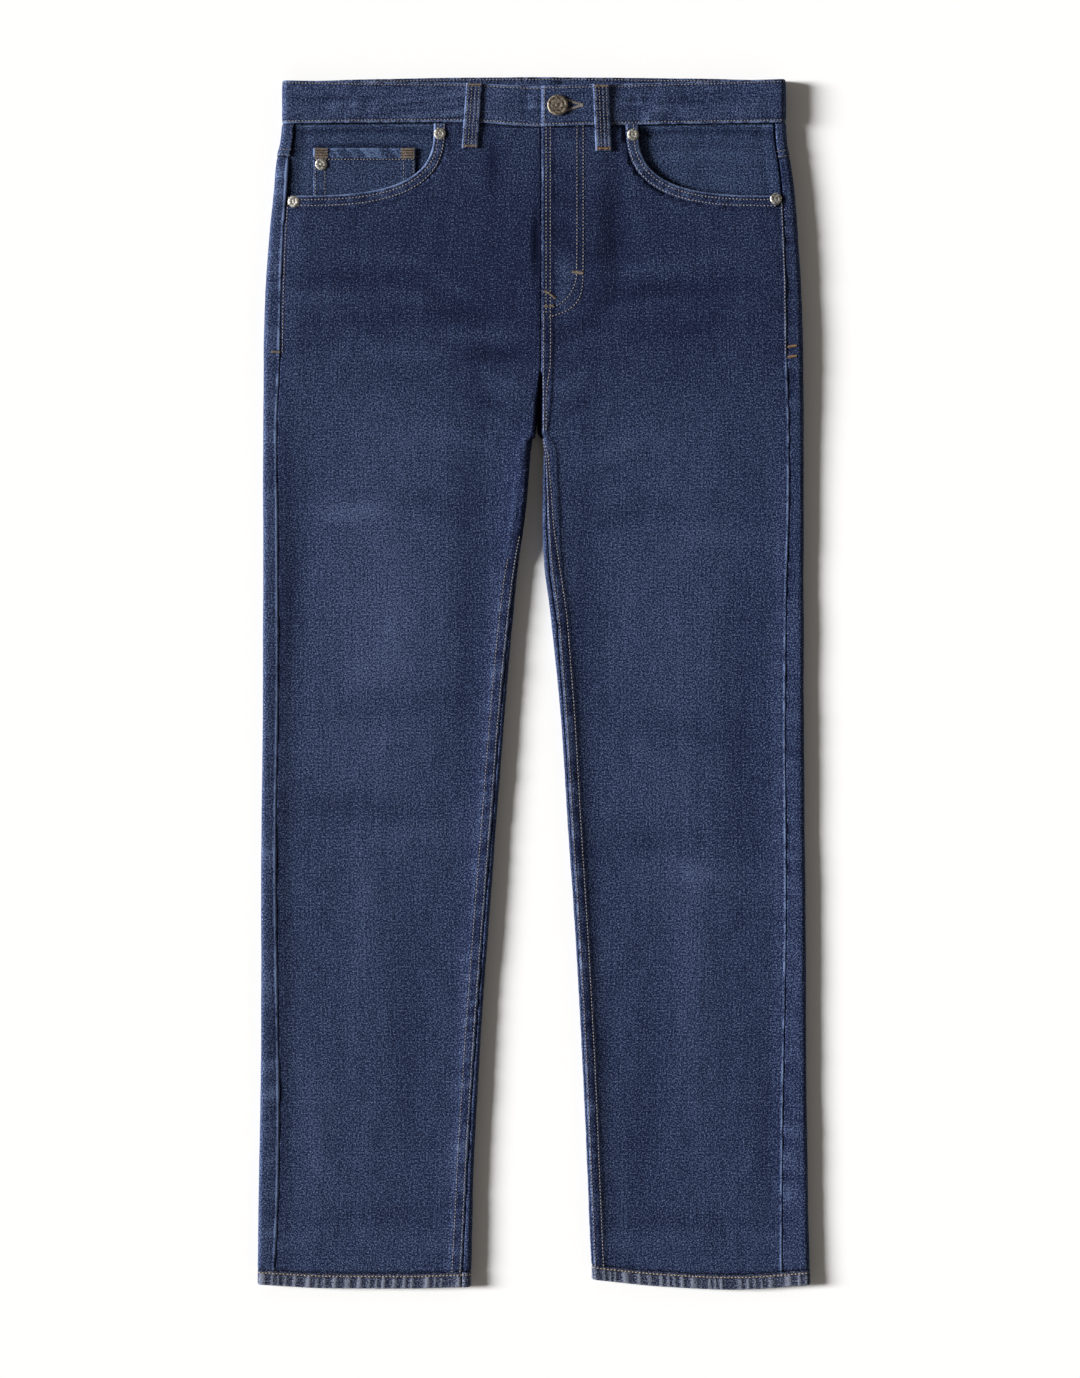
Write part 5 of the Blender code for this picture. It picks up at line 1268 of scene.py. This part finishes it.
# pocket facings and the coin pocket
facing = {"inner": 12.0, "below": 22.0, "sideDrop": 1.5, "drop": 3.1, "sideReach": 14.0}
coin = {"rightX": -194.0, "leftX": -104.0, "topY": 470.5, "bottomY": 412.0, "rows": (2.0, 10.4), "hemRow": 10.2,
        "tackIn": 7.0, "tackHalf": 5.6, "tacksY": (469.2, 466.9, 464.6, 462.3)}


def facingHeight(half, x, y):
    fromSeam = np.abs(x - outerX[half](y)) - outseamIn[half](y)
    return topHeight(half, x, y) - facing["sideDrop"] - (facing["drop"] - facing["sideDrop"]) * ease(
        fromSeam, 1.0, facing["sideReach"])


for half in halves:
    side = inward[half]
    mouth = mouths[half]
    low = mouthShape["cornerY"] - mouth["depth"] - facing["below"]
    share, across = np.linspace(0.0, 1.0, 46)[:, None], np.linspace(0.0, 1.0, 62)[None, :]
    inner = mouth["innerX"] + side * facing["inner"]
    y = low + (488.0 - low) * share + 0 * across
    for _ in range(2):
        seam = outerX[half](y) + side * (outseamIn[half](y) + cloth["gap"])
        x = seam + (inner - seam) * across
        y = low + (frontSeam(x) - cloth["gap"] - low) * share
    wave = mottle(x * 0.5, y, 12.0, 401)
    grid = gridOf(x, y, facingHeight(half, x, y) + 0.1 * wave - 0.1)
    fromEdge = -outsideMouth(half, x, y)
    under = frontSeam(x) - y
    curved = waviness(y + 0.0016 * (x - 150.0 * (-side)) ** 2, 15.0, 403) * fall(under, 16.0, 42.0)
    # painted shade on the facing: close under the mouth's edge, a little below the waistband and beside the side
    # seam; a paler line just under the waistband
    grid["wear"] = 0.02 + 0.12 * wave + 0.7 * curved - 0.9 * fall(fromEdge, 0.0, 4.5) + 0.7 * bell(under - 2.6, 1.4)
    grid["wear"] -= 0.7 * bell(under - 6.5, 2.2) + 0.5 * bell(np.abs(x - outerX[half](y)) - outseamIn[half](y), 7.0)
    if half == "right":
        overCoin = plateau(x, coin["rightX"], coin["leftX"], 1.5)
        # painted shadow cast by the coin pocket along its top and beside its edge away from the light
        grid["wear"] -= 1.8 * bell(y - coin["topY"] - 1.3, 1.7) * overCoin
        grid["wear"] -= 1.2 * bell(x - coin["leftX"] - 1.2, 1.3) * (y < coin["topY"])
    outward = inward[half]
    grid["normals"] = gridNormals(grid["points"], outward)
    pieces[half + "_pocket_facing"] = makeSheet(half + "PocketFacing", [grid], cloth["hidden"], facingDenim, outward)

edge = np.array([0, 0.3, 0.7, 1.3, 2.0, 2.8, 3.8, 5.2, 6.8, 8.4, 9.6, 10.4, 11.2, 12.4, 14.5])
xs = np.concatenate([coin["rightX"] + edge, np.linspace(-177.5, -120.5, 30), coin["leftX"] - edge[::-1]])[None, :]
topEdge = np.array([0, 0.3, 0.7, 1.3, 2.0, 3.0, 4.2, 5.6, 7.2, 8.6, 9.5, 10.2, 10.9, 11.9, 13.6])
ys = np.concatenate([np.linspace(coin["bottomY"], 455.5, 22), coin["topY"] - topEdge[::-1]])[:, None]
x, y = xs + 0 * ys, ys + 0 * xs
fromSide = np.minimum(x - coin["rightX"], coin["leftX"] - x)
fromTop = coin["topY"] - y
z = facingHeight("right", x, y) + cloth["gap"] + cloth["patch"]
wave = waviness(y + 0.3 * x, 9.0, 411) * plateau(fromSide, 2.0, 10.0, 2.0)
hemWave = waviness(x + 0.8 * y, 5.5, 412) * plateau(fromTop, 1.5, 9.6, 1.5)
relief = 0.16 * wave + 0.16 * hemWave + 0.3 * fall(fromTop, 10.4, 12.2) + 0.2 * fall(fromSide, 10.8, 12.4)
relief -= 0.6 * fall(fromSide, 0.0, 0.9) + 0.5 * fall(fromTop, 0.0, 0.8)
relief -= 0.22 * sunkRows(fromSide, coin["rows"], 0.8)
relief -= 0.22 * bell(fromTop - coin["hemRow"], 0.8)
grid = gridOf(x, y, z)
grid["wear"] = 0.05 + 0.6 * wave + 1.15 * hemWave + 0.3 * plateau(fromTop, 1.0, 8.6, 1.0)
grid["wear"] += 0.8 * bell(fromTop - 0.8, 0.8)
# painted shadow in a line under the coin pocket's folded hem
grid["wear"] += 0.9 * bell(fromSide - 0.9, 0.8) - 1.5 * bell(fromTop - 10.6, 1.0) - 0.6 * bell(fromSide - 3.0, 0.8)
grid["wear"] += 0.1 * mottle(x, y, 12.0, 413)
grid = pushed(grid, relief, 1.0)
pieces["coin_pocket"] = makeSheet("coinPocket", [grid], cloth["patch"], facingDenim, 1.0)
for row in coin["rows"]:
    for columnX in (coin["rightX"] + row, coin["leftX"] - row):
        sew("coin", drawnLine(grid, [(columnX, coin["bottomY"] + 2.0), (columnX, coin["topY"] - 1.0)]))
rowY = coin["topY"] - coin["hemRow"]
sew("coin", drawnLine(grid, [(coin["rightX"] + 3.0, rowY), (coin["leftX"] - 3.0, rowY)]))
for tackX in (coin["rightX"] + coin["tackIn"], coin["leftX"] - coin["tackIn"]):
    for tackY in coin["tacksY"]:
        ends = [(tackX - coin["tackHalf"], tackY), (tackX + coin["tackHalf"], tackY)]
        sew("tacks", drawnLine(grid, ends, 0.6, 0.3))
print("pockets made")


# the fly's hidden facing and shield
shield = {"x": -14.0, "width": 52.0, "up": 6.0, "facingUp": 1.0}
behindFront = cloth["denim"] + cloth["gap"] + 0.35
top = float(frontSeam(fly["edgeX"])) - cloth["gap"]
share, across = (np.linspace(0.0, 1.0, 60) ** 1.4)[:, None], np.linspace(0.0, 1.0, 16)[None, :]
bottom = fly["bottomY"] + shield["facingUp"]
y = bottom + (top - bottom) * share + 0 * across
x = fly["edgeX"] + cloth["gap"] + (flyReach(y) - cloth["gap"]) * across
z = topHeight("left", x, y) - behindFront
grid = gridOf(x, y, z, wear=0 * x)
pieces["fly_facing"] = makeSheet("flyFacing", [grid], cloth["hidden"], denim, 1.0)
share = np.linspace(0.0, 1.0, 60)[:, None]
bottom = fly["bottomY"] + shield["up"]
y = bottom + (top - bottom) * share + 0 * across
x = shield["x"] + shield["width"] * across + 0 * share
rightZ, leftZ = topHeight("right", np.minimum(x, 0.0), y), topHeight("left", np.maximum(x, fly["edgeX"]), y)
z = np.minimum(rightZ, leftZ - fly["lift"]) - behindFront
grid = gridOf(x, y, z, wear=0 * x)
pieces["fly_shield"] = makeSheet("flyShield", [grid], cloth["hidden"], denim, 1.0)


# belt loops
loops = {
    "width": 14.0, "seat": 0.4, "bridge": 10.0, "rows": (2.3, 5.4),
    "front": {"front_loop_right": ("right", -52.5, 527.0, 57.5, 4.0),
              "front_loop_left": ("left", 58.6, 525.6, 58.6, -2.5)},
    "back": {"back_loop_right": -150.0, "back_loop_centre": 2.0, "back_loop_left": 150.0},
    "backLength": 52.0, "backLowY": 478.5, "tackInset": 1.2,
}
loopAcross = np.array([0, 0.3, 0.8, 1.5, 2.3, 3.1, 4.0, 4.8, 5.4, 6.1, 7.0])
loopAcross = np.concatenate([loopAcross, loops["width"] - loopAcross[-2::-1]])[None, :]
tackAcross = np.linspace(loops["tackInset"], loops["width"] - loops["tackInset"], 24)
tackColumns = indexAt(tackAcross, loopAcross[0])


def loopRelief(along, length, seed):
    fromSide = np.minimum(loopAcross, loops["width"] - loopAcross)
    fromEnd = np.minimum(along, length - along)
    wave = waviness(along + 0.3 * loopAcross, 8.0, seed) + 0.6 * waviness(along - 0.4 * loopAcross, 5.0, seed + 1)
    relief = 0.13 * wave - 0.7 * fall(fromSide, 0.0, 1.0) ** 2 - 0.5 * fall(fromEnd, 0.0, 1.0)
    relief -= 0.3 * bell(loopAcross - 7.0, 0.9)
    relief -= 0.2 * sunkRows(fromSide, loops["rows"], 0.6)
    wear = 0.3 + 0.6 * wave + 1.25 * bell(fromSide - 0.8, 0.7) + 0.9 * bell(fromEnd - 0.7, 0.8)
    wear -= 0.8 * bell(loopAcross - 7.0, 1.0)
    wear -= 0.7 * bell(fromSide - 3.9, 0.8)
    return relief, wear


for number, (node, (half, loopX, topY, length, slant)) in enumerate(loops["front"].items()):
    along = np.linspace(0.0, length, 70)[:, None]
    y = topY - length + along + 0 * loopAcross
    x = loopX - slant * (1.0 - along / length) + loopAcross - loops["width"] / 2.0
    bandZ = bandFrontHeight(x) if half == "left" else bandPiece["height"] + 0 * x
    frontZ = topHeight(half, x, np.minimum(y, frontSeam(x)))
    bridge = ease(y, frontSeam(x) - loops["bridge"], frontSeam(x) - 1.5)
    z = np.maximum(frontZ, frontZ + (bandZ - frontZ) * bridge) + loops["seat"] + cloth["loop"]
    relief, wear = loopRelief(along, length, 501 + 10 * number)
    grid = pushed(gridOf(x, y, z, wear=wear), relief, 1.0)
    pieces[node] = makeSheet("frontLoop" + half.title(), [grid], cloth["loop"], bandDenim, 1.0)
    for row in loops["rows"]:
        for offset in (row, loops["width"] - row):
            sew("loops", lineOn(grid, np.arange(2.0, 66.0, 1.0), indexAt(offset, loopAcross[0])))
    sew("goldTacks" if half == "left" else "tacks", lineOn(grid, 2.6, tackColumns, 0.3))
    sew("tacks", lineOn(grid, 67.0, tackColumns, 0.3))

for number, (node, loopX) in enumerate(loops["back"].items()):
    along = np.linspace(0.0, loops["backLength"], 44)[:, None]
    x = loopX - loops["width"] / 2.0 + loopAcross + 0 * along
    y = loops["backLowY"] + along + 0 * loopAcross
    relief, wear = loopRelief(along, loops["backLength"], 541 + 10 * number)
    grid = pushed(gridOf(x, y, 0.02 + 0 * x, wear=wear), np.minimum(relief - 0.15, -0.02), -1.0)
    pieces[node] = makeSheet("backLoop" + node.split("_")[-1].title(), [grid], 0.8, bandDenim, -1.0)
    for offset in (loops["rows"][0], loops["width"] - loops["rows"][0]):
        sew("back", lineOn(grid, np.arange(1.5, 41.5, 1.0), indexAt(offset, loopAcross[0]), 0.0))
    sew("tacks", lineOn(grid, 2.2, tackColumns, 0.1))
print("loops made")


# back pockets, plain patches with two rows all round
backPocket = {"centreX": 98.0, "topY": 404.0, "width": 138.0, "sideDrop": 122.0, "point": 148.0, "taper": 0.93,
              "rows": (1.9, 8.0), "hemRow": 16.0}
topY, halfWide = backPocket["topY"], backPocket["width"] / 2.0
sideY, pointY = topY - backPocket["sideDrop"], topY - backPocket["point"]
for half, side in (("right", -1.0), ("left", 1.0)):
    across = np.linspace(-1.0, 1.0, 75)
    across = (np.sign(across) * (1.0 - (1.0 - np.abs(across)) ** 1.35))[None, :]
    share = 0.5 - 0.5 * np.cos(np.linspace(0.0, math.pi, 84))[:, None]
    share = 0.45 * share + 0.55 * np.linspace(0.0, 1.0, 84)[:, None]
    bottom = pointY + (sideY - pointY) * np.abs(across)
    y = bottom + (topY - bottom) * share
    narrowing = 1.0 - (1.0 - backPocket["taper"]) * np.clip((topY - y) / backPocket["sideDrop"], 0, 1)
    middle = side * backPocket["centreX"] + float(centreX(topY))
    x = middle + halfWide * across * narrowing
    sideLine = halfWide * narrowing - np.abs(x - middle)
    fromLow, fromTop = (y - bottom) * 0.93, topY - y
    fromEdge = np.minimum(sideLine, fromLow)
    around = np.where(sideLine < fromLow, y, x)
    wave = waviness(around + 0.4 * fromEdge, 10.0, 601 + int(side)) * plateau(fromEdge, 1.5, 8.5, 3.0)
    relief = 0.15 * wave - 0.35 * fall(fromEdge, 0.0, 1.2) - 0.3 * fall(fromTop, 0.0, 1.0)
    relief -= 0.22 * sunkRows(fromEdge, backPocket["rows"], 0.9)
    relief -= 0.22 * bell(fromTop - backPocket["hemRow"], 0.9) - 0.12 * mottle(x, y, 22.0, 603)
    wear = 0.12 + 0.34 * wave + 0.7 * bell(fromEdge - 0.6, 0.8)
    wear += 0.6 * bell(fromTop - 0.5, 0.7) + 0.15 * mottle(x, y, 34.0, 605)
    grid = gridOf(x, y, 0.03 + 0 * x, wear=wear)
    outward = 1.0 if gridNormals(grid["points"], 1.0)[5, 5, 2] < 0 else -1.0
    grid = pushed(grid, np.minimum(relief - 0.15, -0.02), -1.0)
    pieces[half + "_back_pocket"] = makeSheet(half + "BackPocket", [grid], 0.8, denim, outward)
    for row in backPocket["rows"]:
        w = halfWide - row
        lowW, cornerY = w * backPocket["taper"], sideY + row * 0.7
        line = [(middle - w, topY - 1.5), (middle - lowW, cornerY), (middle, pointY + row * 1.1),
                (middle + lowW, cornerY), (middle + w, topY - 1.5)]
        sew("back", levelLine(line, 0.28, -1.0))
    rowY = topY - backPocket["hemRow"]
    rowHalf, tackHalf = halfWide - 3.0, halfWide - 3.5
    sew("back", levelLine([(middle - rowHalf, rowY), (middle + rowHalf, rowY)], 0.28, -1.0))
    for tackX in (middle - tackHalf, middle + tackHalf):
        sew("tacks", levelLine([(tackX, topY - 2.0), (tackX, topY - 11.0)], 0.2, -1.0, 0.6))
print("back pockets made")


# button and rivets, turned from their profiles
def turned(name, profile, steps, place, normal, finish):
    verts, faces, rings = [], [], []
    for radius, height in profile:
        ring = [len(verts)] if radius < 1e-6 else list(range(len(verts), len(verts) + steps))
        turn = np.linspace(0.0, 2.0 * math.pi, len(ring), endpoint=False)
        verts += [(radius * math.cos(a), radius * math.sin(a), height) for a in turn]
        rings.append(ring)
    for upper, lower in zip(rings, rings[1:]):
        for k in range(steps):
            a, b = upper[k % len(upper)], upper[(k + 1) % len(upper)]
            c, d = lower[(k + 1) % len(lower)], lower[k % len(lower)]
            faces.append([v for v in dict.fromkeys((a, d, c, b))])
    mesh = bpy.data.meshes.new(name)
    turnTo = Vector(normal).to_track_quat("Z", "Y")
    mesh.from_pydata([(turnTo @ Vector(v) + Vector(place)) * mm for v in verts], [], faces)
    mesh.shade_smooth()
    mesh.materials.append(finish)
    return linked(name, mesh)


button = {"x": 20.7, "y": 507.0, "shank": 2.3}
over = bandPiece["height"] + bandPiece["over"] + cloth["gap"] + 0.1
under = bandPiece["height"] + cloth["gap"]
profile = [(0, 2.2), (1.6, 2.18), (2.1, 2.0), (2.6, 2.0), (3.1, 2.16), (4.4, 2.18), (5.4, 2.14), (5.9, 1.96),
           (6.4, 1.96), (6.9, 2.16), (7.6, 2.2), (8.2, 2.12), (8.7, 1.85), (9.0, 1.5), (9.1, 1.2), (9.0, 0.8),
           (8.6, 0.4), (7.8, 0.1), (7.0, 0.0), (button["shank"], 0.0)]
profile = [(r, h + over) for r, h in profile] + [(button["shank"], under), (0, under)]
pieces["tack_button"] = turned("tackButton", profile, 56, (button["x"], button["y"], 0.0), (0, 0, 1), oldBrass)

rivets = {"rivet_right_mouth": (-82.7, 482.6), "rivet_right_side": (-211.0, 423.0), "rivet_coin": (-187.0, 456.0),
          "rivet_left_mouth": (87.0, 481.6), "rivet_left_side": (212.5, 425.4)}
rivetProfile = [(0, 0.95), (0.8, 0.94), (1.2, 0.82), (1.5, 0.68), (1.9, 0.68), (2.3, 0.84), (3.0, 0.92), (3.8, 0.9),
                (4.4, 0.78), (4.9, 0.5), (5.2, 0.2), (5.2, 0.05), (4.9, 0.0), (0, 0.0)]
proud, slopeReach = 0.5, 4.0
for node, (x, y) in rivets.items():
    half = "right" if x < 0.0 else "left"
    drop = facing["drop"] - cloth["gap"] - cloth["patch"] if node == "rivet_coin" else 0.0
    normal = (float(topHeight(half, x - slopeReach, y) - topHeight(half, x + slopeReach, y)),
              float(topHeight(half, x, y - slopeReach) - topHeight(half, x, y + slopeReach)), 2.0 * slopeReach)
    profile = [(r, h + proud) for r, h in rivetProfile]
    pieces[node] = turned("".join(part.title() for part in node.split("_")), profile, 32,
                          (x, y, float(topHeight(half, x, y)) - drop), normal, rivetMetal)

# buttonhole edging: two sides that meet in a point beside the button
buttonhole = {
    "y": 507.2, "above": 0.55,
    "side": [(23.5, 511.6), (28.5, 511.9), (33.0, 510.4), (38.0, 508.7), (43.0, 507.5)],
}
for flip in (1.0, -1.0):
    middleY = buttonhole["y"]
    line = rounded([(x, middleY + flip * (y - middleY)) for x, y in buttonhole["side"]])
    sew("buttonhole", levelLine(line, lambda xs: bandFrontHeight(xs) + buttonhole["above"], 1.0, 0.8))
print("button and rivets made")


# thread
threadKinds = {
    "front": ("frontStitching", 3.0, 2.0, 0.84, 0.0, brownThread),
    "back": ("backStitching", 3.0, 2.5, 0.62, 0.0, brownThread),
    "waistband": ("waistbandStitching", 2.9, 1.95, 0.82, 0.0, brownThread),
    "loops": ("loopStitching", 2.6, 1.6, 0.68, 0.0, brownThread),
    "coin": ("coinPocketStitching", 2.8, 1.9, 0.76, 0.0, brownThread),
    "hem": ("hemStitching", 3.1, 2.5, 0.9, 0.0, hemThread),
    "tacks": ("barTacks", 0.62, 2.5, 0.5, math.pi / 2.0 - 0.25, tackThread),
    "goldTacks": ("goldTacks", 0.62, 2.6, 0.5, math.pi / 2.0 - 0.25, goldThread),
    "buttonhole": ("buttonholeEdging", 0.6, 2.9, 0.5, math.pi / 2.0 - 0.12, brownThread),
}
threads = {}
for seed, (group, (name, pitch, length, thick, turn, thread)) in enumerate(threadKinds.items()):
    threads[group] = makeThread(name, sewn[group], pitch, length, thick, turn, thread, seed + 3)
    print(name, len(threads[group].data.polygons), "faces")


# each piece and thread hangs from the root body, and the part each piece stands for is hidden
for node, piece in pieces.items():
    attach(piece, root)
    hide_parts(node)
for thread in threads.values():
    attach(thread, root)

# floor, light and camera
stage = {"floorZ": -0.0006, "size": 9.0}
mesh = bpy.data.meshes.new("ground")
reach, floorZ = stage["size"], stage["floorZ"]
corners = ((-reach, -reach), (reach, -reach), (reach, reach), (-reach, reach))
mesh.from_pydata([(x, y, floorZ) for x, y in corners], [], [(0, 1, 2, 3)])
ground = linked("ground", mesh)
paper, shader, add = newMaterial("paper", 0.95)
paperGrain = noiseAt(add, add("ShaderNodeTexCoord").outputs["Object"], 900.0)
shade = blend(add, paperGrain, (0.86, 0.86, 0.855, 1), (0.885, 0.885, 0.88, 1))
paper.node_tree.links.new(shade, shader.inputs["Base Color"])
shader.inputs["Specular IOR Level"].default_value = 0.0
mesh.materials.append(paper)

light = {"elevation": 17.5, "from": 176.0, "spread": 15.0, "strength": 10.4, "away": 3.0}
data = bpy.data.lights.new("softbox", "SUN")
data.energy, data.angle = light["strength"], math.radians(light["spread"])
softbox = linked("softbox", data)
up, turn = math.radians(light["elevation"]), math.radians(light["from"])
level = light["away"] * math.cos(up)
softbox.location = (level * math.cos(turn), level * math.sin(turn), light["away"] * math.sin(up))
softbox.rotation_mode = "QUATERNION"
softbox.rotation_quaternion = softbox.location.to_track_quat("Z", "Y")
world = bpy.data.worlds.new("room")
world.use_nodes = True
background, add = world.node_tree.nodes["Background"], nodeAdder(world.node_tree)
room = {"colour": (1.0, 0.93, 0.85, 1.0), "power": 2.4, "strength": 1.3, "least": 0.004}
background.inputs["Color"].default_value = room["colour"]
upward = add("ShaderNodeSeparateXYZ", {"Vector": add("ShaderNodeTexCoord").outputs["Generated"]}).outputs["Z"]
lowDown = mathNode(add, "SUBTRACT", 1.0, mathNode(add, "MAXIMUM", upward, 0.0))
fromHorizon = mathNode(add, "POWER", lowDown, room["power"])
strength = plus(add, times(add, fromHorizon, room["strength"]), room["least"])
world.node_tree.links.new(strength, background.inputs["Strength"])
bpy.context.scene.world = world
bpy.context.scene.view_settings.view_transform = "Standard"

view = {"x": 0.0053, "y": -0.0051, "height": 3.0, "framed": 1.2126, "plane": 0.004}
data = bpy.data.cameras.new("camera")
data.sensor_width = 36.0
data.lens = data.sensor_width * (view["height"] - view["plane"]) / view["framed"]
camera = linked("camera", data)
camera.location = (view["x"], view["y"], view["height"])
bpy.context.scene.camera = camera
print("stage, light and camera set")
